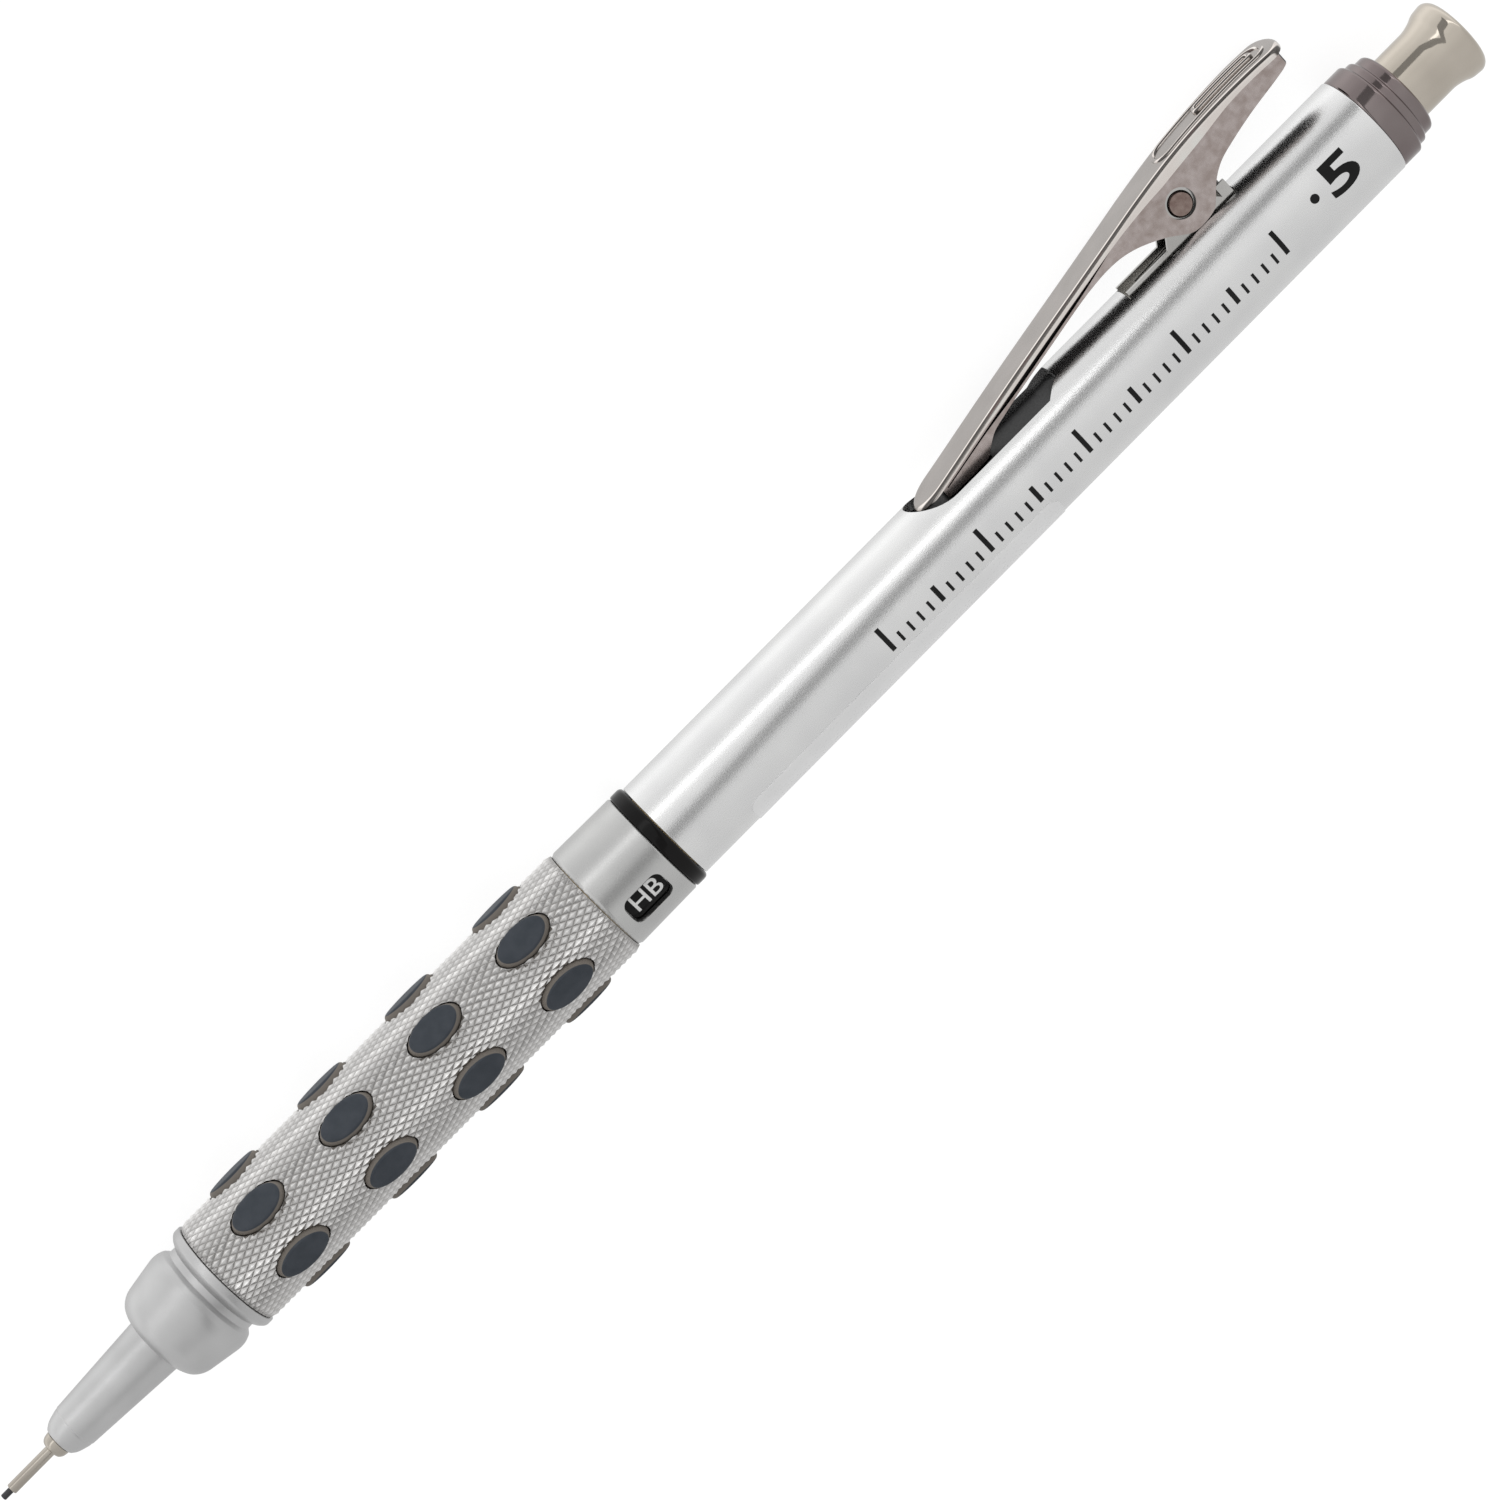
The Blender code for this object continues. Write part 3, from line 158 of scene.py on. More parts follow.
CLIP_BEND_R = 0.4
CLIP_TIP = (-28.85, 2.3)
CLIP_TAIL = (13.1, 1.5)
CLIP_SHEET = 0.3
CLIP_SIDE = (
    (-28.85, 2.1), (-17.6, 2.0), (-5.9, 1.98), (1.85, 2.05), (5.75, 2.2), (9.6, 2.4), (13.1, 2.42),
)
CLIP_FACE = (
    (-28.85, 3.85), (-25.45, 4.51), (-21.55, 5.31), (-17.6, 6.1), (-13.7, 6.83), (-9.8, 7.54),
    (-5.9, 8.26), (-2.0, 8.98), (1.85, 9.54), (5.75, 9.86), (9.6, 9.93), (13.1, 9.75),
)
CLIP_SKIRT = (
    (-28.85, 0.42), (-21.5, 0.42), (-17.6, 0.52), (-5.9, 0.55), (-2.0, 0.8),
    (0.0, 0.98), (3.8, 0.98), (7.8, 0.65), (13.1, 0.6),
)
CLIP_EDGE = (
    (-26.5, 2.99), (-22.5, 3.05), (-22.0, 3.4), (-21.5, 3.77), (-21.0, 4.08), (-20.5, 4.26),
    (-19.5, 4.5), (-17.6, 4.92), (-13.7, 5.67), (-9.8, 6.4), (-7.8, 6.63), (-6.8, 6.65),
    (-5.85, 6.58), (-4.9, 6.37), (-3.9, 6.0), (-2.4, 5.23), (-1.1, 4.29), (-0.65, 4.05),
    (0.05, 3.94), (1.0, 4.02), (1.6, 4.2), (2.0, 4.55), (3.0, 5.59), (4.0, 6.27), (4.95, 6.63),
    (7.9, 7.3), (11.8, 7.91), (12.6, 8.22), (13.1, 8.6),
)
CHANNEL_GAP_DEPTH = 0.2
CHANNEL_SLIT = (
    (-26.1, 0.77), (-21.5, 0.82), (-17.6, 0.99), (-13.7, 0.96), (-9.8, 0.89), (-7.8, 0.79), (-6.0, 0.68),
)
CHANNEL_FRONT = -26.5
CHANNEL_HALF_WIDTH = 1.62
CHANNEL_SHEET = 0.28
CHANNEL_DROP = CLIP_SHEET + FIT
EAR_HOLE_R = 1.18
EAR_HOLE_Z = PIVOT_HEIGHT + 0.1
HOOK = (-24.8, 2.2, 0.8, 2.42)

SLOT_HALF_WIDTH = 2.78
SLOT = (-29.45, -15.0)
SLOT_ROUND = 3.5
SLOT_CORNER = (1.6, 1.7)
BRACKET_SLOT = (-7.3, 3.65, 1.66)
BRACKET_HALF_WIDTH = 1.3
BRACKET_BASE = 3.0
BRACKET_SHEET = 0.3
POCKET_FLOOR = 2.75
POCKET_RAMP = 1.7
# Cutters reach this far, past every surface.
PAST = 9.0


# ---- materials
def nodes_of(name):
    made = bpy.data.materials.new(name)
    made.use_nodes = True
    return made, made.node_tree, made.node_tree.nodes["Principled BSDF"]


def fed(tree, socket, value):
    """Gives a socket its value: another socket's result or a constant."""
    if isinstance(value, bpy.types.NodeSocket):
        tree.links.new(value, socket)
    else:
        socket.default_value = value


def coordinates(tree, kind):
    return tree.nodes.new("ShaderNodeTexCoord").outputs[kind]


def noise(tree, size, detail):
    """Noise with features about this size, in millimetres, fixed to the piece."""
    made = tree.nodes.new("ShaderNodeTexNoise")
    made.inputs["Scale"].default_value = 1 / (size * MM)
    made.inputs["Detail"].default_value = detail
    tree.links.new(coordinates(tree, "Object"), made.inputs["Vector"])
    return made.outputs["Fac"]


def mapped(tree, value, low, high, to_low=0.0, to_high=1.0):
    """The value's range from low to high, laid over another range and held at its ends."""
    made = tree.nodes.new("ShaderNodeMapRange")
    for name, number in zip(("From Min", "From Max", "To Min", "To Max"), (low, high, to_low, to_high)):
        made.inputs[name].default_value = number
    tree.links.new(value, made.inputs["Value"])
    return made.outputs["Result"]


def spread(tree, value, low, high):
    """Noise's middle range, 0.3 to 0.7, spread over low to high."""
    return mapped(tree, value, 0.3, 0.7, low, high)


def mixed(tree, factor, first, second, blend="MIX"):
    made = tree.nodes.new("ShaderNodeMix")
    made.data_type = "RGBA"
    made.blend_type = blend
    for name, value in zip(("Factor", "A", "B"), (factor, first, second)):
        fed(tree, made.inputs[name], value)
    return made.outputs["Result"]


def tones(tree, value, first, second):
    return mixed(tree, spread(tree, value, 0, 1), (*first, 1), (*second, 1))


def levels(tree, value, stops, interpolation="LINEAR"):
    """A ramp of greys through (place, level) stops."""
    made = tree.nodes.new("ShaderNodeValToRGB")
    made.color_ramp.interpolation = interpolation
    elements = made.color_ramp.elements
    while len(elements) > 1:
        elements.remove(elements[-1])
    for i, (place, level) in enumerate(stops):
        stop = elements[0] if i == 0 else elements.new(place)
        stop.position = place
        stop.color = (level, level, level, 1)
    tree.links.new(value, made.inputs["Fac"])
    return made.outputs["Color"]


def bump(tree, value, depth):
    """Relief of this depth, in millimetres."""
    made = tree.nodes.new("ShaderNodeBump")
    made.inputs["Distance"].default_value = depth * MM
    made.inputs["Strength"].default_value = 1.0
    tree.links.new(value, made.inputs["Height"])
    return made.outputs["Normal"]


def vector_result(tree, operation, output, *values):
    made = tree.nodes.new("ShaderNodeVectorMath")
    made.operation = operation
    for socket, value in zip(made.inputs, values):
        fed(tree, socket, value)
    return made.outputs[output]


def sideways_share(tree, vector):
    """How much of the vector points to either side of the clip."""
    side = vector_result(tree, "DOT_PRODUCT", "Value", vector, LOCAL.col[1].to_3d().normalized())
    made = tree.nodes.new("ShaderNodeMath")
    made.operation = "ABSOLUTE"
    tree.links.new(side, made.inputs[0])
    return made.outputs["Value"]


def deeper(tree, colour, deep, low, high):
    """The colour, going over to the deep one as the distance from the axis falls from high to low."""
    centre = (0, -LOCAL[1][3], -LOCAL[2][3])
    place = coordinates(tree, "Object")
    across = vector_result(tree, "MULTIPLY_ADD", "Vector", place, (0, 1, 1), centre)
    distance = vector_result(tree, "LENGTH", "Value", across)
    return mixed(tree, mapped(tree, distance, low * MM, high * MM), (*deep, 1), colour)


# Painted shade: the knurl's colour darkens to grey towards the bottom of its grooves.
def painted_groove_shade(tree, colour):
    return deeper(tree, colour, (0.46, 0.45, 0.44), GRIP_R - KNURL_DEPTH, GRIP_R - 0.25 * KNURL_DEPTH)


# Painted sheen: the pads' slanted sides go over to a lighter taupe below their dark flat tops.
def painted_side_sheen(tree, colour):
    return deeper(tree, colour, (0.17, 0.15, 0.13), 4.94, 4.97)


def painted_edge_highlight(tree, colour):
    """Painted highlight by the surface's slope: a bright line where the plate starts to roll over, a painted dark
    line below it, and a bright flange.
    """
    stops = (
        (0, 0.46), (0.15, 0.46), (0.22, 0.95), (0.4, 0.95),
        (0.5, 0.12), (0.85, 0.12), (0.93, 0.92), (1, 0.92),
    )
    bands = levels(tree, sideways_share(tree, coordinates(tree, "Normal")), stops)
    return mixed(tree, 1, colour, bands, "OVERLAY")


def painted_shade_inside(tree, colour):
    """Painted shade: near black inside the clip's channel and in the gap along its side."""
    place = vector_result(tree, "SUBTRACT", "Vector", coordinates(tree, "Object"), LOCAL.translation)
    low, high = CHANNEL_HALF_WIDTH - 0.06, CHANNEL_HALF_WIDTH - 0.03
    share = mapped(tree, sideways_share(tree, place), low * MM, high * MM)
    return mixed(tree, share, (0.012, 0.011, 0.011, 1), colour)


def finish(name, colours, metallic, roughness, grain, depth, patch=4.0, specular=0.5, change=None):
    """A material of two close tones in soft patches, with fine grain in its gloss and its relief."""
    made, tree, shader = nodes_of(name)
    fine = noise(tree, grain, 3)
    colour = tones(tree, noise(tree, patch, 2), *colours)
    if change:
        colour = change(tree, colour)
    tree.links.new(colour, shader.inputs["Base Color"])
    tree.links.new(spread(tree, fine, *roughness), shader.inputs["Roughness"])
    tree.links.new(bump(tree, fine, depth), shader.inputs["Normal"])
    shader.inputs["Metallic"].default_value = metallic
    shader.inputs["Specular IOR Level"].default_value = specular
    return made


def metal(name, colours, roughness, grain, depth, patch=4.0, change=None):
    return finish(name, colours, 1, roughness, grain, depth, patch, change=change)


def plastic(name, colours, roughness, grain, depth, patch=4.0, specular=0.5, change=None):
    return finish(name, colours, 0, roughness, grain, depth, patch, specular, change)


SATIN = metal("satin_silver", ((0.86, 0.86, 0.86), (0.92, 0.92, 0.915)), (0.2, 0.3), 0.1, 0.006)
BAND = metal("band_silver", ((0.58, 0.58, 0.575), (0.65, 0.65, 0.64)), (0.26, 0.34), 0.08, 0.003)
MATT = metal("matt_silver", ((0.58, 0.58, 0.58), (0.66, 0.66, 0.66)), (0.36, 0.46), 0.07, 0.005)
# Knurled silver, with painted shade in its grooves.
KNURL = metal(
    "knurl_silver", ((0.80, 0.79, 0.78), (0.90, 0.89, 0.88)), (0.24, 0.34), 0.15, 0.003, 0.9, painted_groove_shade
)
# Clip nickel, with a painted highlight and a painted dark line along its rolled edges.
NICKEL = metal(
    "clip_nickel", ((0.47, 0.435, 0.41), (0.53, 0.495, 0.47)), (0.16, 0.22), 0.12, 0.001, 3.0, painted_edge_highlight
)
# Ear nickel: its pink-to-brown mottling in small patches is a painted reflection, and painted shade darkens the
# inside of the channel.
EAR_NICKEL = metal(
    "channel_nickel", ((0.42, 0.35, 0.325), (0.58, 0.51, 0.49)), (0.22, 0.32), 0.1, 0.003, 0.7, painted_shade_inside
)
BUTTON_NICKEL = metal("button_nickel", ((0.60, 0.545, 0.47), (0.68, 0.62, 0.54)), (0.06, 0.12), 0.2, 0.0006)
GUNMETAL = metal("collar_gunmetal", ((0.22, 0.18, 0.18), (0.29, 0.25, 0.245)), (0.08, 0.14), 0.2, 0.0008)
SLEEVE_STEEL = metal("sleeve_steel", ((0.45, 0.41, 0.36), (0.54, 0.50, 0.44)), (0.12, 0.2), 0.2, 0.001)
STEEL = metal("bright_steel", ((0.52, 0.51, 0.49), (0.66, 0.65, 0.63)), (0.14, 0.26), 0.15, 0.002)
PIN_METAL = metal("pin_metal", ((0.24, 0.17, 0.15), (0.36, 0.28, 0.25)), (0.24, 0.34), 0.08, 0.003, 0.5)
BRASS = metal("turned_brass", ((0.70, 0.52, 0.25), (0.80, 0.62, 0.34)), (0.2, 0.32), 0.12, 0.003)
BLACK = plastic(
    "black_plastic", ((0.005, 0.005, 0.006), (0.010, 0.010, 0.011)), (0.26, 0.4), 0.12, 0.002, specular=0.12
)
GLOSS_BLACK = plastic(
    "grade_black", ((0.005, 0.005, 0.005), (0.009, 0.008, 0.008)), (0.1, 0.18), 0.2, 0.0008, specular=0.15
)
SMOKE = plastic("smoke_plastic", ((0.18, 0.19, 0.2), (0.25, 0.26, 0.27)), (0.18, 0.3), 0.2, 0.001)
# Dark rubber, with a painted sheen on the pads' slanted sides.
RUBBER = plastic(
    "grip_rubber", ((0.026, 0.034, 0.045), (0.042, 0.050, 0.063)), (0.45, 0.62), 0.06, 0.006,
    patch=1.2, specular=0.4, change=painted_side_sheen,
)
ERASER = plastic("white_eraser", ((0.80, 0.80, 0.78), (0.90, 0.90, 0.88)), (0.6, 0.8), 0.12, 0.01, 1.5)
GRAPHITE = finish("graphite", ((0.035, 0.035, 0.038), (0.07, 0.07, 0.075)), 0.3, (0.3, 0.5), 0.08, 0.004)
INK = plastic(
    "black_ink", ((0.005, 0.005, 0.005), (0.012, 0.012, 0.012)), (0.4, 0.55), 0.1, 0.0005, specular=0.2
)
WHITE_INK = plastic("white_ink", ((0.78, 0.78, 0.77), (0.88, 0.88, 0.87)), (0.4, 0.55), 0.1, 0.0005)
LABEL = plastic("blank_label", ((0.84, 0.84, 0.84), (0.9, 0.9, 0.9)), (0.25, 0.35), 0.2, 0.001)


# ---- mesh tools, in millimetres
def rounded(profile, steps=6):
    """The profile's points, each corner with a third value rounded over that distance."""
    found = []
    last = len(profile) - 1
    for i, (x, r, *reach) in enumerate(profile):
        here = Vector((x, r))
        if not reach or i in (0, last):
            found.append(here)
            continue
        before = Vector(profile[i - 1][:2]) - here
        after = Vector(profile[i + 1][:2]) - here
        first = here + before.normalized() * min(reach[0], 0.49 * before.length)
        second = here + after.normalized() * min(reach[0], 0.49 * after.length)
        for k in range(steps + 1):
            t = k / steps
            found.append((1 - t) ** 2 * first + 2 * t * (1 - t) * here + t * t * second)
    return found


def spot(x, radius, angle):
    """The point at that distance from the axis, the angle taken from the clip."""
    return Vector((x, -radius * math.sin(angle), radius * math.cos(angle)))


def bridge(bm, first, second, closed=True):
    """Faces between two rows of points; a row of one point is a tip."""
    count = max(len(first), len(second))
    for k in range(count if closed else count - 1):
        j = (k + 1) % count
        corners = []
        for row, n in ((first, k), (first, j), (second, j), (second, k)):
            vertex = row[n] if len(row) > 1 else row[0]
            if vertex not in corners:
                corners.append(vertex)
        bm.faces.new(corners)


def turned(profile, sides=96):
    """A solid turned about the axis. A profile that starts off the axis is closed into a ring."""
    bm = bmesh.new()
    rows = []
    for x, r in rounded(profile):
        angles = [math.tau * k / sides for k in range(sides)] if r > 1e-6 else [0.0]
        rows.append([bm.verts.new(spot(x, r, a)) for a in angles])
    if len(rows[0]) > 1:
        rows.append(rows[0])
    for first, second in zip(rows, rows[1:]):
        if len(first) > 1 or len(second) > 1:
            bridge(bm, first, second)
    return bm


def lofted(loops):
    """A solid through closed loops of points, capped at both ends."""
    bm = bmesh.new()
    rows = [[bm.verts.new(point) for point in loop] for loop in loops]
    for first, second in zip(rows, rows[1:]):
        bridge(bm, first, second)
    bm.faces.new(rows[0])
    bm.faces.new(rows[-1])
    return bm


def upright(outline, low, high):
    """A solid over an (x, y) outline."""
    return lofted([[(x, y, z) for x, y in outline] for z in (low, high)])


def sideways(outline, low, high):
    """A solid over an (x, z) outline, between two sides."""
    return lofted([[(x, y, z) for x, z in outline] for y in (low, high)])


def crosswise(x, z, radius, half, sides=48):
    """A rod across the pencil."""
    ring = [(x + radius * math.cos(a), z + radius * math.sin(a)) for a in angles_of(sides)]
    return sideways(ring, -half, half)


def angles_of(count):
    return [math.tau * k / count for k in range(count)]


def arc(centre, radii, first, last, steps):
    """Points of an ellipse's arc, angles in degrees."""
    turns = [math.radians(first + (last - first) * i / steps) for i in range(steps + 1)]
    return [(centre[0] + radii[0] * math.cos(a), centre[1] + radii[1] * math.sin(a)) for a in turns]


def rectangle(first, last, half):
    """An outline from first to last along the pencil, and half to each side."""
    return [(first, -half), (last, -half), (last, half), (first, half)]


def soft_rectangle(half, corner):
    """A rectangle's outline about the origin, with round corners."""
    points = []
    for sx, sy, turn in ((1, 1, 0), (-1, 1, 90), (-1, -1, 180), (1, -1, 270)):
        centre = (sx * (half[0] - corner), sy * (half[1] - corner))
        points += arc(centre, (corner, corner), turn, turn + 90, 8)
    return points


def placed(bm, x, angle=0.0):
    """The mesh turned about the axis by the angle from the clip, then moved along it."""
    bm.transform(Matrix.Translation((x, 0, 0)) @ Matrix.Rotation(angle, 4, "X"))
    return bm


def linked(name, data):
    made = bpy.data.objects.new(name, data)
    bpy.context.scene.collection.objects.link(made)
    return made


def gathered(meshes):
    """Several meshes as one."""
    whole = bmesh.new()
    for bm in meshes:
        copy = {v: whole.verts.new(v.co) for v in bm.verts}
        for polygon in bm.faces:
            whole.faces.new([copy[v] for v in polygon.verts])
        bm.free()
    return whole


def helper(bm):
    bmesh.ops.recalc_face_normals(bm, faces=bm.faces)
    mesh = bpy.data.meshes.new("helper")
    bm.to_mesh(mesh)
    bm.free()
    return linked("helper", mesh)


def evaluated(made, extras=()):
    """The object's final mesh, with the object and its helpers removed."""
    bpy.context.view_layer.update()
    graph = bpy.context.evaluated_depsgraph_get()
    mesh = bpy.data.meshes.new_from_object(made.evaluated_get(graph))
    bm = bmesh.new()
    bm.from_mesh(mesh)
    bpy.data.meshes.remove(mesh)
    for obj in (made, *extras):
        bpy.data.objects.remove(obj)
    return bm


def shaped(bm, *tools):
    """The mesh after each (operation, other mesh) Boolean in turn."""
    made = helper(bm)
    others = []
    for operation, other in tools:
        others.append(helper(other))
        modifier = made.modifiers.new(operation, "BOOLEAN")
        modifier.operation = operation
        modifier.object = others[-1]
        modifier.solver = "MANIFOLD"
    return evaluated(made, others)


def less(bm, *cutters):
    return shaped(bm, *(("DIFFERENCE", cutter) for cutter in cutters))


def wire(points, radius, sides=3):
    """A round wire along the points."""
    curve = bpy.data.curves.new("wire", "CURVE")
    curve.dimensions = "3D"
    curve.bevel_depth = radius
    curve.bevel_resolution = sides
    curve.use_fill_caps = True
    spline = curve.splines.new("POLY")
    spline.points.add(len(points) - 1)
    for point, co in zip(spline.points, points):
        point.co = (*co, 1)
    bm = evaluated(linked("wire", curve))
    bmesh.ops.remove_doubles(bm, verts=bm.verts, dist=1e-4)
    return bm


def piece(name, bm, look, body, slot, *nodes, sharp=35):
    """The mesh as a piece that moves with a body and stands for those CAD nodes."""
    bmesh.ops.recalc_face_normals(bm, faces=bm.faces)
    bm.transform(LOCAL)
    mesh = bpy.data.meshes.new(name)
    bm.to_mesh(mesh)
    bm.free()
    mesh.shade_smooth()
    mesh.set_sharp_from_angle(angle=math.radians(sharp))
    mesh.materials.append(look)
    made = linked(name, mesh)
    if body:
        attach(made, body)
    if nodes:
        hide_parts(*nodes)
    return made


def bending(name, bm, look, bodies, first, last, node):
    """A spring as a fixed piece for its CAD node, riding no body, its transform baked in. The bodies and the two
    points are not used.
    """
    made = piece(name, bm, look, None, "spring_steel", node)
    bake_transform(made)


# ---- tip
def make_lead():
    out, length, radius = -0.87, 60.0, 0.25
    bm = turned([(out, 0), (out, radius, 0.08), (out + length, radius), (out + length, 0)], 32)
    piece("pencil_lead", bm, GRAPHITE, "lead_stick", "graphite", "lead")


def make_lead_sleeve():
    """Thin tube with a domed boss that seats in the cone."""
    profile = [
        (0.0, 0.3), (0.0, 0.435, 0.06), (X_BOSS - 0.02, 0.435), (X_BOSS, 0.55, 0.05),
        (X_BOSS + 0.06, 0.78, 0.1), (X_BOSS + 0.34, 1.0, 0.25), (X_BOSS + 0.84, 1.06), (X_BOSS + 0.84, 0.8),
        (X_BOSS + 4.6, 0.8), (X_BOSS + 4.6, 0.3),
    ]
    piece("sleeve_tube", turned(profile, 64), SLEEVE_STEEL, "carriage", "spring_steel", "lead_sleeve")


def make_cone():
    """Retractable cone with a rounded nose and a faint turned line."""
    x, rear = X_CONE, X_FERRULE + 15.15
    profile = [
        (x, 0.86), (x, 1.22, 0.1), (x + 0.45, 1.55, 0.4), (x + 1.42, 1.82, 0.3), (x + 1.55, 1.8, 0.03),
        (x + 1.64, 1.86, 0.03), (X_FERRULE, 2.35, 0.4), (rear, 2.37), (rear, 1.96), (x + 4.2, 1.96),
        (x + 4.2, 0.86),
    ]
    piece("cone", turned(profile), MATT, "carriage", "matt_aluminium", "tip_cone")


def make_ferrule():
    """Rounded shoulder, a groove, and the flange against the grip."""
    x = X_FERRULE
    profile = [
        (x + 3.6, 2.46), (x, 2.46), (x, 2.62, 0.1), (x + 0.12, 3.0, 0.15), (x + 0.36, 3.46, 0.2),
        (x + 0.76, 3.84, 0.3), (x + 1.3, 4.1, 0.3), (x + 3.1, 4.4, 0.6), (x + 4.2, 4.57, 0.25),
        (x + 4.7, 4.52, 0.12), (x + 5.17, 4.34, 0.1), (x + 5.5, 3.96, 0.06), (x + 6.02, 3.94, 0.05),
        (x + 6.3, 4.42, 0.1), (x + 6.62, 4.76, 0.2), (x + 7.22, 4.76, 0.06), (x + 7.24, 4.66),
        (x + 7.24, 4.0), (x + 9.6, 4.0), (x + 9.6, 3.51), (x + 3.6, 3.51),
    ]
    piece("ferrule", turned(profile, 128), MATT, "barrel", "matt_aluminium", "front_ferrule")


# ---- grip
def knurl_height(row, column):
    """0 in a groove, 1 on a crest, at the knurl's own grid points."""
    shares = [(column + way * row) % 4 / 4 for way in (1, -1)]
    return 2.0 * min(abs(share - round(share)) for share in shares)


def knurled_rows(bm):
    columns = 4 * KNURL_STARTS
    rows = []
    for i in range(KNURL_ROWS + 1):
        x = X_GRIP + (X_GRIP_END - X_GRIP) * i / KNURL_ROWS
        worn = 0.35 if i in (0, KNURL_ROWS) else 1.0
        rows.append([])
        for k in range(columns):
            height = min(worn, knurl_height(i, k))
            radius = GRIP_R - KNURL_DEPTH * (1 - height) - (0.06 if worn < 1 else 0)
            rows[-1].append(bm.verts.new(spot(x, radius, math.tau * k / columns)))
    return rows


def knurled_shell():
    """Tube whose outside is cut in crossed grooves; each cell's faces follow its grooves."""
    bm = bmesh.new()
    rows = knurled_rows(bm)
    columns = len(rows[0])
    for i in range(KNURL_ROWS):
        for k in range(columns):
            j = (k + 1) % columns
            a, b, c, d = rows[i][k], rows[i][j], rows[i + 1][j], rows[i + 1][k]
            halves = ((a, b, c), (a, c, d)) if (k + i) % 2 == 0 else ((a, b, d), (b, c, d))
            for corners in halves:
                bm.faces.new(corners)
    ends = (X_GRIP, X_GRIP_END)
    inside = [[bm.verts.new(spot(x, GRIP_BORE_R, a)) for a in angles_of(columns)] for x in ends]
    bridge(bm, rows[0], inside[0])
    bridge(bm, rows[-1], inside[1])
    bridge(bm, *inside)
    return bm


def pad_places():
    middle = (X_GRIP + X_GRIP_END) / 2
    for row in range(PAD_ROWS):
        for column in range(PAD_COLUMNS):
            x = middle + (row - (PAD_ROWS - 1) / 2) * PAD_PITCH
            yield x, PAD_PHASE + math.tau * column / PAD_COLUMNS


def oval(scale, extra, height, sides=40):
    half = [scale * side + extra for side in PAD_HALF]
    return [(half[0] * math.cos(a), half[1] * math.sin(a), height) for a in angles_of(sides)]


def make_grip():
    depths = (3.5, 6.0)
    holes = [placed(lofted([oval(1, PAD_GAP, z) for z in depths]), x, angle) for x, angle in pad_places()]
    bm = less(knurled_shell(), gathered(holes))
    piece("knurled_grip", bm, KNURL, "barrel", "knurled_aluminium", "grip_shell", sharp=8)


def rubber_pad():
    """An oval stud with slanted sides and a softly rounded, flat top."""
    rings = (
        (1, 3.9), (1, 4.4), (0.985, 4.6), (0.93, 4.86), (0.9, 4.93), (0.88, 4.96), (0.85, 4.98),
        (0.76, 4.995), (0.5, 5.0),
    )
    return lofted([oval(scale, 0, height) for scale, height in rings])


def make_pads():
    """Rubber sleeve inside the grip, with its studs."""
    first, last, outer, inner = 24.7, 59.5, 4.0, 3.6
    sleeve = turned([(first, inner), (first, outer), (last, outer), (last, inner)], 64)
    pads = [placed(rubber_pad(), x, angle) for x, angle in pad_places()]
    piece("rubber_pads", gathered([sleeve, *pads]), RUBBER, "barrel", "grip_rubber", "grip_pads", sharp=50)


# ---- middle
def window_loop(extra, height):
    """The grade window's outline, widened by extra."""
    outline = soft_rectangle([side + extra for side in WINDOW_HALF], WINDOW_CORNER + extra)
    return [(x, y, height) for x, y in outline]


def make_collar():
    """Smooth band with small chamfers and the bevelled grade window."""
    first, last = X_COLLAR, X_COLLAR_END
    profile = [
        (first, GRIP_BORE_R), (first, 4.42), (first + 0.28, 4.56, 0.05), (first + 0.5, 4.56, 0.05),
        (last - 0.45, 4.5, 0.05), (last - 0.12, 4.5, 0.05), (last, 4.38), (last, GRIP_BORE_R),
    ]
    loops = [window_loop(0, 3.0), window_loop(0, 4.36), window_loop(0.14, 4.6), window_loop(0.14, 6.0)]
    opening = placed(lofted(loops), (first + last) / 2, WINDOW_ANGLE)
    bm = less(turned(profile, 160), opening)
    piece("grade_band", bm, BAND, "barrel", "satin_aluminium", "window_collar")


def make_grade_ring():
    """Drum behind the window and the black rim that turns it."""
    first = start("grade_ring")
    lip = X_GRADE_END - 1.1
    profile = [
        (first, 3.53), (first, DRUM_R), (lip, DRUM_R), (lip, 4.44, 0.12), (lip + 0.1, 4.5, 0.15),
        (X_GRADE_END - 0.2, 4.5, 0.25), (X_GRADE_END, 4.3, 0.1), (X_GRADE_END, 3.53),
    ]
    piece("grade_dial_ring", turned(profile), GLOSS_BLACK, "grade_dial", "black_plastic", "grade_ring")


def letters(words, height, bold):
    """Flat, solid lettering centred on the origin: x along the words, y up the letters."""
    text = bpy.data.curves.new("words", "FONT")
    text.body = words
    text.size = height / 0.7
    text.align_x = "CENTER"
    text.align_y = "CENTER"
    text.offset = bold
    text.extrude = PRINT_HALF
    text.resolution_u = 6
    bm = evaluated(linked("words", text))
    bmesh.ops.remove_doubles(bm, verts=bm.verts, dist=1e-4)
    return bm


def slab(u, v, half_u, half_v):
    """A thin flat mark centred at (u, v)."""
    corners = ((-1, -1), (1, -1), (1, 1), (-1, 1))
    outline = [(u + sx * half_u, v + sy * half_v) for sx, sy in corners]
    return upright(outline, -PRINT_HALF, PRINT_HALF)


def wrapped(bm, x, angle, radius, strip=0.2):
    """Flat work laid on a cylinder: its x runs along the pencil and its y up towards the clip."""
    low = min(v.co.y for v in bm.verts)
    high = max(v.co.y for v in bm.verts)
    for i in range(1, math.ceil((high - low) / strip)):
        geometry = [*bm.verts, *bm.edges, *bm.faces]
        bmesh.ops.bisect_plane(bm, geom=geometry, plane_co=(0, low + i * strip, 0), plane_no=(0, 1, 0))
    for vertex in bm.verts:
        u, v, lift = vertex.co
        vertex.co = spot(x + u, radius + lift, angle - v / radius)
    return bm


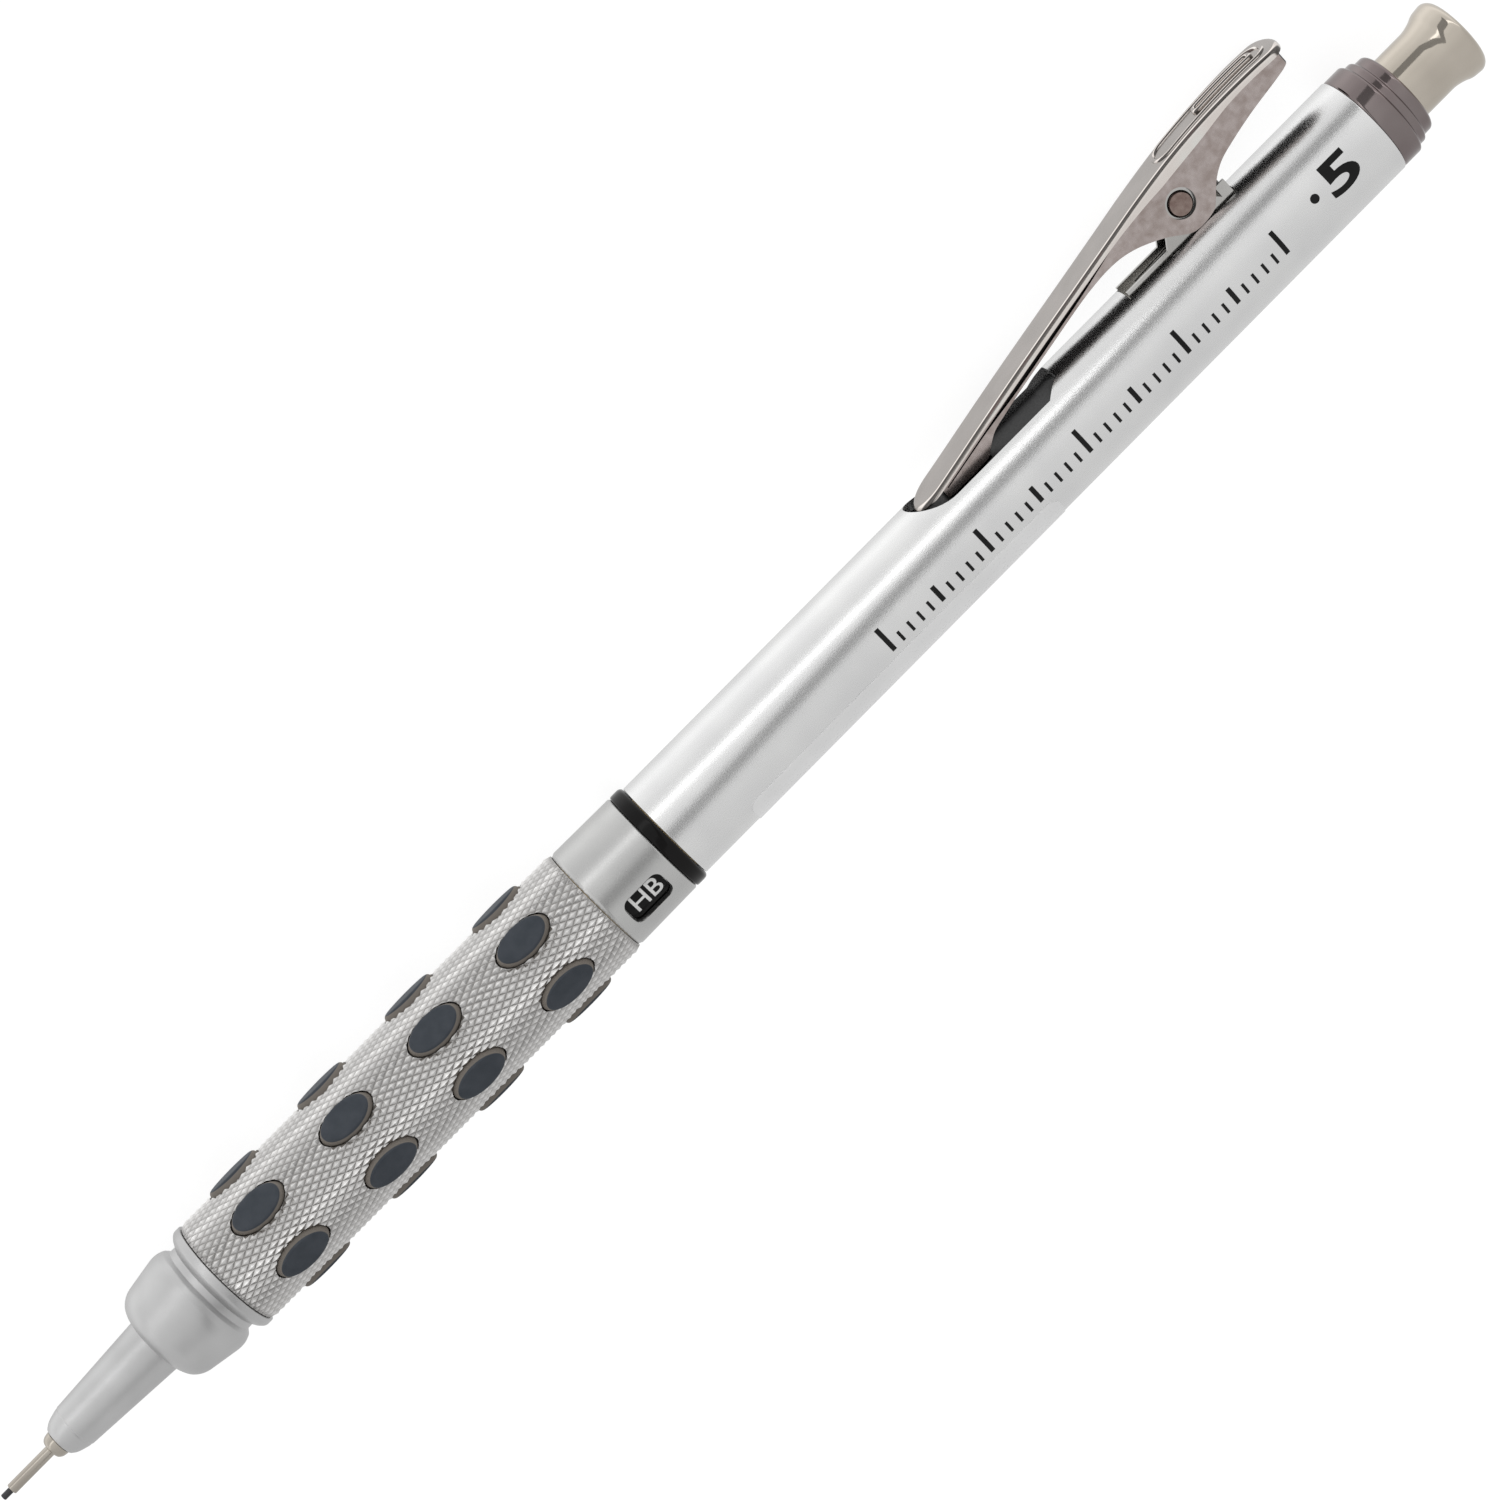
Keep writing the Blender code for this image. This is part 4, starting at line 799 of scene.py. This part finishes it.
def make_grades():
    """White lead grades round the drum, one of them in the window."""
    x = (X_COLLAR + X_COLLAR_END) / 2 + 0.05
    marks = []
    for i, grade in enumerate(GRADES):
        angle = WINDOW_ANGLE + math.tau * i / len(GRADES)
        marks.append(wrapped(letters(grade, 1.5, 0.015), x, angle, DRUM_R))
    piece("grade_letters", gathered(marks), WHITE_INK, "grade_dial", "white_eraser")


# ---- barrel
def slot_loop():
    """The lower slot from above: a round front end and a chamfered rear end."""
    front = X_PIVOT + SLOT[0] + SLOT_ROUND
    rear = X_PIVOT + SLOT[1]
    corner, narrow = SLOT_CORNER
    half = SLOT_HALF_WIDTH
    nose = arc((front, 0), (SLOT_ROUND, half), 90, 270, 24)
    return [*nose, (rear - corner, -half), (rear, -narrow), (rear, narrow), (rear - corner, half)]


def bracket_slot_loop():
    front, rear, half = BRACKET_SLOT
    return rectangle(X_PIVOT + front, X_PIVOT + rear, half)


def make_barrel():
    first, last = X_BARREL, X_BARREL_END
    profile = [
        (first, BARREL_BORE_R), (first, BARREL_R, 0.1), (last, BARREL_R, 0.08), (last, BARREL_BORE_R),
    ]
    slots = [upright(loop, 0.5, PAST) for loop in (slot_loop(), bracket_slot_loop())]
    bm = less(turned(profile, 192), *slots)
    piece("barrel_tube", bm, SATIN, "barrel", "satin_aluminium", "upper_barrel")


def liner_pocket(front, rear, depth):
    """Room for the clip's tip: a flat floor with a ramp at the rear."""
    side = [
        (front, POCKET_FLOOR), (rear - POCKET_RAMP, POCKET_FLOOR), (rear, depth), (rear, PAST), (front, PAST),
    ]
    return sideways(side, -SLOT_HALF_WIDTH, SLOT_HALF_WIDTH)


def hook_hole():
    """A way through the pocket's floor for the hook."""
    hook, length, half, _ = HOOK
    gap = 0.4
    first = X_PIVOT + hook - gap
    return upright(rectangle(first, first + length + 2 * gap, half + gap), 0.5, PAST)


def bracket_seat():
    reach = 1.7
    first, last = X_PIVOT + BRACKET_SLOT[0] - reach, X_PIVOT + BRACKET_SLOT[1] + reach
    return upright(rectangle(first, last, BRACKET_HALF_WIDTH + 0.1), 0.5, PAST)


def make_liner():
    """Black insert behind the slots: a pocket for the clip's tip, and a seat for the bracket."""
    first, last, outer, inner = start("window_liner"), end("window_liner"), BARREL_BORE_R - 0.05, 3.1
    tube = turned([(first, inner), (first, outer), (last, outer), (last, inner)], 96)
    front, rear = X_PIVOT + SLOT[0], X_PIVOT + SLOT[1]
    wall = 0.7
    block = turned([(front - wall, 0), (front - wall, outer), (rear + wall, outer), (rear + wall, 0)], 96)
    below = upright(rectangle(front - 2, rear + 2, PAST), -PAST, POCKET_FLOOR - 0.3)
    bm = shaped(
        tube, ("UNION", less(block, below)), ("DIFFERENCE", liner_pocket(front, rear, outer - 0.25)),
        ("DIFFERENCE", hook_hole()), ("DIFFERENCE", bracket_seat()),
    )
    piece("slot_liner", bm, BLACK, "barrel", "black_plastic", "window_liner", sharp=30)


def make_end_collar():
    """Dark plated collar with two rounded steps."""
    x = X_BARREL_END + 0.05
    front = start("end_collar")
    profile = [
        (front, 2.83), (front, 3.55), (x, 3.55), (x, 4.12), (x + 0.12, 4.2, 0.1), (x + 1.62, 4.2, 0.16),
        (x + 1.8, 3.88, 0.08), (x + 2.36, 3.88, 0.14), (x + 2.52, 3.6, 0.08), (x + 3.3, 3.58, 0.2),
        (x + 3.5, 3.3, 0.12), (x + 3.5, 2.83),
    ]
    piece("rear_collar", turned(profile, 128), GUNMETAL, "barrel", "gunmetal", "end_collar")


# ---- eraser end
def make_button():
    """Push button: a thin cap with a flared rim and a slightly domed face."""
    front, last = X_BUTTON, X_BUTTON_END
    profile = [
        (front, 2.46), (front, 2.75, 0.05), (last - 2.9, 2.75, 0.3), (last - 2.1, 2.93, 0.4),
        (last - 1.55, 3.2, 0.25), (last - 0.5, 3.31, 0.3), (last - 0.02, 2.9, 0.3), (last, 2.3, 0.5),
        (last, 0), (last - 0.8, 0), (last - 0.8, 2.46),
    ]
    bm = turned(profile, 128)
    piece("button_cap", bm, BUTTON_NICKEL, "button", "polished_nickel", "push_button")


def make_eraser():
    """Eraser stick and the cup that holds it."""
    first, last = start("eraser"), end("eraser")
    bm = turned([(first, 0), (first, 2.03), (last, 2.03, 0.35), (last, 0)], 64)
    piece("eraser_plug", bm, ERASER, "eraser_stick", "white_eraser", "eraser")
    x, out = start("eraser_cup"), end("eraser_cup")
    profile = [
        (x, 1.6), (x, 2.38, 0.1), (out - 1.0, 2.38, 0.05), (out - 0.9, 2.3, 0.05), (out, 2.3, 0.1),
        (out, 2.08), (out - 6.8, 2.08), (out - 6.8, 1.15), (x + 3.7, 1.15), (x + 3.7, 1.6),
    ]
    piece("eraser_holder", turned(profile, 64), BLACK, "plunger", "black_plastic", "eraser_cup")


# ---- clip
def along(points, x):
    """Height at x of a smooth curve through the points."""
    last = len(points) - 1
    i = next((k for k in range(last) if x <= points[k + 1][0]), last - 1)
    before, left, right, after = (points[max(0, min(last, k))] for k in (i - 1, i, i + 1, i + 2))
    width = right[0] - left[0]
    t = (x - left[0]) / width
    slope_left = (right[1] - before[1]) / (right[0] - before[0]) * width
    slope_right = (after[1] - left[1]) / (after[0] - left[0]) * width
    return (
        (2 * t**3 - 3 * t**2 + 1) * left[1] + (t**3 - 2 * t**2 + t) * slope_left
        + (3 * t**2 - 2 * t**3) * right[1] + (t**3 - t**2) * slope_right
    )


def face_height(x):
    """Height of the clip's outer face at a distance from its pivot."""
    return along(CLIP_FACE, x)


def side_width(x):
    """Half the clip's width there."""
    return along(CLIP_SIDE, x)


def skirt(x):
    """How far the clip's flange hangs below its face there."""
    return along(CLIP_SKIRT, x)


def plan_side(inset, straight=90, bend=14):
    """One side of the clip from above, from its tip to its tail."""
    tip, tip_round = CLIP_TIP
    tail, tail_round = CLIP_TAIL
    first, last = tip + tip_round, tail - tail_round
    xs = [first + (last - first) * i / straight for i in range(1, straight)]
    nose = arc((first, 0), (tip_round - inset, side_width(first) - inset), 180, 90, bend)
    end_ = arc((last, 0), (tail_round - inset, side_width(last) - inset), 90, 0, bend)
    return [*nose, *((x, side_width(x) - inset) for x in xs), *end_]


def clip_sheet(bm, rings, columns):
    """One face of the clip's plate: rows across it through each (inset, drop) ring of its edge."""
    sides = [plan_side(inset) for inset, _ in rings]
    drops = [drop for _, drop in rings]
    rows = []
    for k in range(len(sides[0])):
        left = [(*side[k], drop) for side, drop in zip(sides, drops)]
        left[0] = (*sides[0][k], -skirt(sides[0][k][0]))
        x, y, drop = left[-1]
        across = [(x, y * (1 - 2 * i / columns), drop) for i in range(1, columns)]
        right = [(x, -y, drop) for x, y, drop in reversed(left)]
        row = [*left, *across, *right]
        rows.append([bm.verts.new((x, y, face_height(x) + drop)) for x, y, drop in row])
    for first, second in zip(rows, rows[1:]):
        for k in range(len(first) - 1):
            bm.faces.new((first[k], first[k + 1], second[k + 1], second[k]))
    return rows


def edge_rings(inset, radius, steps):
    """Rings of a rolled edge that starts this far inside the outline; the first one is the flange's foot."""
    turns = [math.radians(90 * i / steps) for i in range(steps + 1)]
    middle = inset + radius
    bend = [(middle - radius * math.cos(a), -CLIP_BEND_R + radius * math.sin(a)) for a in turns]
    return [(inset, 0), *bend]


def make_clip_plate():
    """Sheet plate with its edges rolled down all round."""
    bm = bmesh.new()
    outer = clip_sheet(bm, edge_rings(0, CLIP_BEND_R, 8), 6)
    inner = clip_sheet(bm, edge_rings(CLIP_SHEET, CLIP_BEND_R - CLIP_SHEET, 4), 6)
    for k in (0, -1):
        bridge(bm, [row[k] for row in outer], [row[k] for row in inner], closed=False)
    bmesh.ops.remove_doubles(bm, verts=bm.verts, dist=1e-5)
    bmesh.ops.dissolve_degenerate(bm, edges=bm.edges, dist=1e-6)
    piece("clip_top", placed(bm, X_PIVOT), NICKEL, "clip", "polished_nickel", "clip_plate", sharp=30)


def channel_outline(drop, overhang, bottom=None):
    """The channel from the side, its top this far under the outer face; its foot is shaped unless given."""
    first, last = CHANNEL_FRONT - overhang, CLIP_TAIL[0] + overhang
    xs = [first + (last - first) * i / 160 for i in range(161)]
    upper = [(x, face_height(x) - drop) for x in xs]
    if bottom is not None:
        return [*upper, (last, bottom), (first, bottom)]
    least = 0.3
    return [*upper, *((x, min(along(CLIP_EDGE, x), face_height(x) - drop - least)) for x in reversed(xs))]


def channel_slit(drop):
    """The long gap between the plate and the channel's side."""
    first, last = CHANNEL_SLIT[0][0], CHANNEL_SLIT[-1][0]
    xs = [first + (last - first) * i / 40 for i in range(41)]
    upper = [(x, face_height(x) - drop) for x in xs]
    return [*upper, *((x, face_height(x) - along(CHANNEL_SLIT, x)) for x in reversed(xs))]


def tail_loop(inset):
    """Room for the channel from above: the plate's round tail, and clear of its front and sides."""
    last, reach = CLIP_TAIL[0] - CLIP_TAIL[1], CLIP_TAIL[1] - inset
    half = side_width(last) - inset
    end_ = arc((last, 0), (reach, half), -90, 90, 16)
    return [(CHANNEL_FRONT - 2, half), (CHANNEL_FRONT - 2, -half), *end_]


def make_channel():
    """Channel under the plate, with the ears that the pin goes through."""
    outer, sheet = CHANNEL_HALF_WIDTH, CHANNEL_SHEET
    bm = sideways(channel_outline(CHANNEL_DROP, 0), -outer, outer)
    hollow = sideways(channel_outline(CHANNEL_DROP + sheet, 1, -PAST), sheet - outer, outer - sheet)
    hole = crosswise(0, EAR_HOLE_Z, EAR_HOLE_R, PAST)
    gap = channel_slit(CHANNEL_DROP + sheet + FIT)
    floor = outer - CHANNEL_GAP_DEPTH
    gaps = [sideways(gap, *sides) for sides in ((-PAST, -floor), (floor, PAST))]
    cuts = [("DIFFERENCE", cutter) for cutter in (hollow, hole, *gaps)]
    plan = upright(tail_loop(CHANNEL_DROP), -PAST, 2 * PAST)
    bm = shaped(bm, *cuts, ("INTERSECT", plan))
    piece("clip_ears", placed(bm, X_PIVOT), EAR_NICKEL, "clip", "polished_nickel", "clip_channel", sharp=25)


def stadium(first, last, half, sides=16):
    """A long outline with round ends, on the clip's face."""
    nose = arc((first + half, 0), (half, half), 90, 270, sides)
    end_ = arc((last - half, 0), (half, half), -90, 90, sides)
    return [*nose, *end_]


def make_thumb_rest():
    """Two nested ridges pressed up round the thumb's place on the tail."""
    ridges = []
    for first, last, half, lift in ((0.9, 12.0, 1.3, -0.04), (5.4, 11.0, 0.45, 0.1)):
        loop = stadium(first, last, half)
        fine = []
        for (x, y), (u, v) in zip(loop, loop[1:] + loop[:1]):
            steps = max(1, round(math.hypot(u - x, v - y) / 0.4))
            fine += [(x + (u - x) * i / steps, y + (v - y) * i / steps) for i in range(steps)]
        fine.append(fine[0])
        ridges.append(wire([(x, y, face_height(x) + lift) for x, y in fine], 0.2, 4))
    bm = placed(gathered(ridges), X_PIVOT)
    piece("thumb_rest", bm, NICKEL, "clip", "polished_nickel", sharp=40)


def make_hook():
    front, length, half, bottom = HOOK
    under = CHANNEL_DROP + CHANNEL_SHEET + FIT
    toe, thick = front + length, 0.5
    inner = front + thick
    outline = [
        (front, bottom), (toe, bottom), (toe, bottom + thick), (inner, bottom + thick),
        (inner, face_height(inner) - under), (front, face_height(front) - under),
    ]
    bm = placed(sideways(outline, -half, half), X_PIVOT)
    piece("clip_catch", bm, STEEL, "clip", "spring_steel", "clip_hook")


def bracket_outline():
    """One cheek from the side: a foot, a low rail, a round boss at the pin and a tab at the rear."""
    base, top, rail, tower, tab = BRACKET_BASE, BRACKET_BASE + BRACKET_SHEET, 4.3, 5.6, 5.2
    front, rear, _ = BRACKET_SLOT
    foot, gap, tab_length = 1.6, 0.15, 0.9
    back = rear - gap
    boss = arc((0, PIVOT_HEIGHT), (1.4, 1.4), -20, 200, 32)
    return [
        (front - foot, base), (rear + foot, base), (rear + foot, top), (back, top), (back, tab),
        (back - tab_length, tab), (back - tab_length, rail), *boss, (-2.06, tower), (-2.96, rail),
        (front + gap, rail), (front + gap, top), (front - foot, top),
    ]


def make_bracket():
    """Bracket whose two cheeks stand up in the barrel's upper slot."""
    front, rear, _ = BRACKET_SLOT
    half = BRACKET_HALF_WIDTH
    room = rectangle(front - 1, rear + 1, half - BRACKET_SHEET)
    between = upright(room, BRACKET_BASE + BRACKET_SHEET, PAST)
    pin_hole = crosswise(0, PIVOT_HEIGHT, PIN_R + FIT, PAST)
    bm = less(sideways(bracket_outline(), -half, half), between, pin_hole)
    piece("pivot_bracket", placed(bm, X_PIVOT), STEEL, "barrel", "spring_steel", "clip_bracket", sharp=30)


def make_pin():
    half = CHANNEL_HALF_WIDTH - 0.1
    inner, end_r = half - 0.12, PIN_R - 0.1
    loops = []
    for y, radius in ((-half, end_r), (-inner, PIN_R), (inner, PIN_R), (half, end_r)):
        loops.append([(radius * math.cos(a), y, PIVOT_HEIGHT + radius * math.sin(a)) for a in angles_of(48)])
    bm = placed(lofted(loops), X_PIVOT)
    piece("pivot_pin", bm, PIN_METAL, "barrel", "spring_steel", "clip_pin", sharp=30)


# ---- springs
def coil(x, length, radius, mean, turns, points=20):
    """Points of a spring with closed ends, from x over the length."""
    found = []
    closed = 2.2 * radius
    inner = length - 2 * radius
    count = turns * points
    for i in range(count + 1):
        share = i / count
        rise = min(1.0, max(0.0, (share - 1 / turns) / (1 - 2 / turns)))
        ends = closed * min(1.0, share * turns) + closed * max(0.0, 1 - (1 - share) * turns)
        found.append(spot(x + radius + ends + (inner - 2 * closed) * rise, mean, math.tau * turns * share))
    return found


def make_spring(name, wire_r, mean, turns, bodies, node):
    """A compression spring in its CAD node's place, between two bodies."""
    gap = 0.05
    first, last = start(node) + gap, end(node) - gap
    bm = wire(coil(first, last - first, wire_r, mean, turns), wire_r)
    bending(name, bm, STEEL, bodies, (first, 0, 0), (last, 0, 0), node)


def make_clip_spring():
    """Torsion spring round the pin: one leg on the bracket, the other under the plate."""
    radius, mean, turns, pitch = 0.17, 1.3, 3.5, 0.42
    count = round(turns * 20)
    points = []
    for i in range(count + 1):
        angle = math.tau * turns * i / count - math.pi / 2
        y = pitch * turns * (0.5 - i / count)
        points.append((mean * math.cos(angle), y, PIVOT_HEIGHT + mean * math.sin(angle)))
    seat = BRACKET_BASE + BRACKET_SHEET + radius + FIT
    first, last = points[0], points[-1]
    tip = 5.2
    under = face_height(tip) - CHANNEL_DROP - CHANNEL_SHEET - radius - 0.1
    low_leg = [(BRACKET_SLOT[0] + 1.5, first[1], seat), (-2.4, first[1], seat + 0.15)]
    high_leg = [(0.8, last[1], last[2] + 0.1), (tip, last[1], under)]
    bm = placed(wire([*low_leg, *points, *high_leg], radius), X_PIVOT)
    ends = [(X_PIVOT, 0, PIVOT_HEIGHT + rise) for rise in (-1.2, 1.2)]
    bending("torsion_spring", bm, STEEL, ("barrel", "clip"), *ends, "clip_spring")


# ---- prints
def make_size_mark():
    """The lead's size: a dot and a wide five."""
    five = letters("5", 2.62, 0.09)
    widening = 1.75
    five.transform(Matrix.Diagonal((widening, 1, 1, 1)))
    x, y, radius = -2.62, 0.1, 0.36
    circle = [(x + radius * math.cos(a), y + radius * math.sin(a)) for a in angles_of(32)]
    dot = upright(circle, -PRINT_HALF, PRINT_HALF)
    bm = wrapped(gathered([five, dot]), SIZE_MARK_X, SIZE_MARK_ANGLE, PRINT_R)
    piece("size_mark", bm, INK, "barrel", "black_plastic")


def make_scale():
    """A plain millimetre scale where the barrel is printed."""
    marks = []
    for i in range(SCALE_LENGTH + 1):
        half = (2.2 if i % 10 == 0 else 1.5 if i % 5 == 0 else 0.95) / 2
        marks.append(slab(i - SCALE_LENGTH / 2, SCALE_FOOT + half, 0.12 if i % 5 else 0.19, half))
    bm = wrapped(gathered(marks), SCALE_X, SCALE_ANGLE, PRINT_R)
    piece("millimetre_scale", bm, INK, "barrel", "black_plastic")


def make_label():
    """A blank label along the underside, its upper edge at the label's angle."""
    half = [side / 2 for side in LABEL_SIZE]
    sheet = upright(soft_rectangle(half, LABEL_CORNER), -PRINT_HALF, LABEL_THICKNESS)
    bm = wrapped(sheet, LABEL_X, LABEL_ANGLE + half[1] / BARREL_R, PRINT_R)
    piece("blank_label", bm, LABEL, "barrel", "satin_aluminium")


# ---- carried-over CAD nodes
INNER_LOOKS = {
    "lead_retainer": RUBBER,
    "chuck": BRASS,
    "chuck_ring": BRASS,
    "carriage_tube": BLACK,
    "spring_collar": BLACK,
    "lead_tube": SMOKE,
    "inner_tube": BRASS,
}


def dress_inner_nodes():
    for name, look in INNER_LOOKS.items():
        mesh = frame["nodes"][name].data
        mesh.materials.clear()
        mesh.materials.append(look)


# ---- studio
VIEW_ANGLE = math.radians(70)
ROLL = math.radians(45.25)
VIEW_DISTANCE = 340.0
AIM_X = 75.3
LENS = 112.8
# Brightness of the room by direction: degrees above the clip-side horizon, and share of the strength.
ROOM_STRENGTH = 3.2
ROOM = (
    (-180, 0.2), (-126, 0.22), (-90, 0.25), (-53, 0.34), (-30, 0.29), (0, 0.24), (11, 0.24), (14, 0.52),
    (21, 0.52), (24, 0.27), (50, 0.24), (90, 0.21), (130, 0.2), (165, 0.195), (180, 0.2),
)
# A dim ribbon hung over the pencil: place along it, and degrees above the clip-side horizon.
RIBBON_LEVEL = 0.25
RIBBON_RADIUS = 60.0
RIBBON_HALF = 11.0
RIBBON = ((-10, 104), (30, 86), (63, 67), (72, 61), (105, 41), (140, 21), (170, 8))
FLOOR_LEVEL = 0.85
FLOOR_HALF = 3.0
FLOOR_DROP = 0.0002


def make_room():
    """Soft white room with a narrow bright strip on the clip side."""
    world = bpy.data.worlds.new("room")
    bpy.context.scene.world = world
    world.use_nodes = True
    tree = world.node_tree
    split = tree.nodes.new("ShaderNodeSeparateXYZ")
    angle = tree.nodes.new("ShaderNodeMath")
    angle.operation = "ARCTAN2"
    tree.links.new(coordinates(tree, "Generated"), split.inputs["Vector"])
    tree.links.new(split.outputs["Z"], angle.inputs[0])
    tree.links.new(split.outputs["Y"], angle.inputs[1])
    share = mapped(tree, angle.outputs["Value"], -math.pi, math.pi)
    stops = [((degrees + 180) / 360, level) for degrees, level in ROOM]
    background = tree.nodes["Background"]
    background.inputs["Strength"].default_value = ROOM_STRENGTH
    tree.links.new(levels(tree, share, stops, "EASE"), background.inputs["Color"])


def glowing(name, patch, colours, level, roughness, specular):
    """A matt material with its own white light."""
    made, tree, shader = nodes_of(name)
    tree.links.new(tones(tree, noise(tree, patch, 2), *colours), shader.inputs["Base Color"])
    shader.inputs["Roughness"].default_value = roughness
    shader.inputs["Specular IOR Level"].default_value = specular
    shader.inputs["Emission Color"].default_value = (1, 1, 1, 1)
    shader.inputs["Emission Strength"].default_value = level
    return made


def staged(name, points, faces, look, *unseen):
    """A stage object that those kinds of ray pass by."""
    mesh = bpy.data.meshes.new(name)
    mesh.from_pydata(points, [], faces)
    mesh.materials.append(look)
    made = linked(name, mesh)
    for ray in unseen:
        setattr(made, f"visible_{ray}", False)


def make_ribbon():
    """Dim card that shows only in reflections: it draws the soft dark line along the barrel."""
    points = []
    for x, degrees in RIBBON:
        for edge in (-RIBBON_HALF, RIBBON_HALF):
            angle = math.radians(degrees + edge)
            offset = Vector((x, RIBBON_RADIUS * math.cos(angle), RIBBON_RADIUS * math.sin(angle)))
            points.append(LOCAL.translation + offset * MM)
    faces = [(2 * i, 2 * i + 2, 2 * i + 3, 2 * i + 1) for i in range(len(RIBBON) - 1)]
    look = glowing("ribbon_card", 30, ((0.02, 0.02, 0.02), (0.03, 0.03, 0.03)), RIBBON_LEVEL, 0.5, 0.5)
    staged("ribbon", points, faces, look, "camera", "diffuse", "shadow", "transmission")


def make_floor():
    """White floor. Reflections pass it by and show the room below, so metal edges stay grey on white."""
    corners = ((-1, -1), (1, -1), (1, 1), (-1, 1))
    points = [(x * FLOOR_HALF, y * FLOOR_HALF, CAD_BOX[0].z - FLOOR_DROP) for x, y in corners]
    look = glowing("white_sweep", 60, ((0.28, 0.28, 0.28), (0.3, 0.3, 0.3)), FLOOR_LEVEL, 0.9, 0.1)
    staged("floor", points, [(0, 1, 2, 3)], look, "glossy")


def make_camera():
    """Looks square at the axis, rolled so that the pencil runs from lower left to upper right."""
    towards = (LOCAL.to_3x3() @ spot(0, 1, VIEW_ANGLE)).normalized()
    axis = Vector((1, 0, 0))
    up = towards.cross(axis)
    right = math.cos(ROLL) * axis - math.sin(ROLL) * up
    top = math.sin(ROLL) * axis + math.cos(ROLL) * up
    at = LOCAL @ Vector((AIM_X, 0, 0)) + towards * VIEW_DISTANCE * MM
    data = bpy.data.cameras.new("camera")
    data.sensor_width = 36
    data.lens = LENS
    data.clip_start = 0.01
    made = linked("camera", data)
    rows = [(right[k], top[k], towards[k], at[k]) for k in range(3)]
    made.matrix_world = Matrix((*rows, (0, 0, 0, 1)))
    bpy.context.scene.camera = made


def main():
    make_camera()
    make_room()
    make_floor()
    make_ribbon()
    make_lead()
    make_lead_sleeve()
    make_cone()
    make_ferrule()
    make_grip()
    make_pads()
    make_collar()
    make_grade_ring()
    make_grades()
    make_barrel()
    make_liner()
    make_end_collar()
    make_button()
    make_eraser()
    make_clip_plate()
    make_channel()
    make_thumb_rest()
    make_hook()
    make_bracket()
    make_pin()
    make_spring("tip_spring", 0.2, 2.75, 8, ("barrel", "carriage"), "retract_spring")
    make_spring("jaw_spring", 0.12, 1.25, 7, ("carriage", "plunger"), "chuck_spring")
    make_clip_spring()
    make_size_mark()
    make_scale()
    make_label()
    dress_inner_nodes()
    bpy.context.scene.view_settings.view_transform = "Standard"


main()
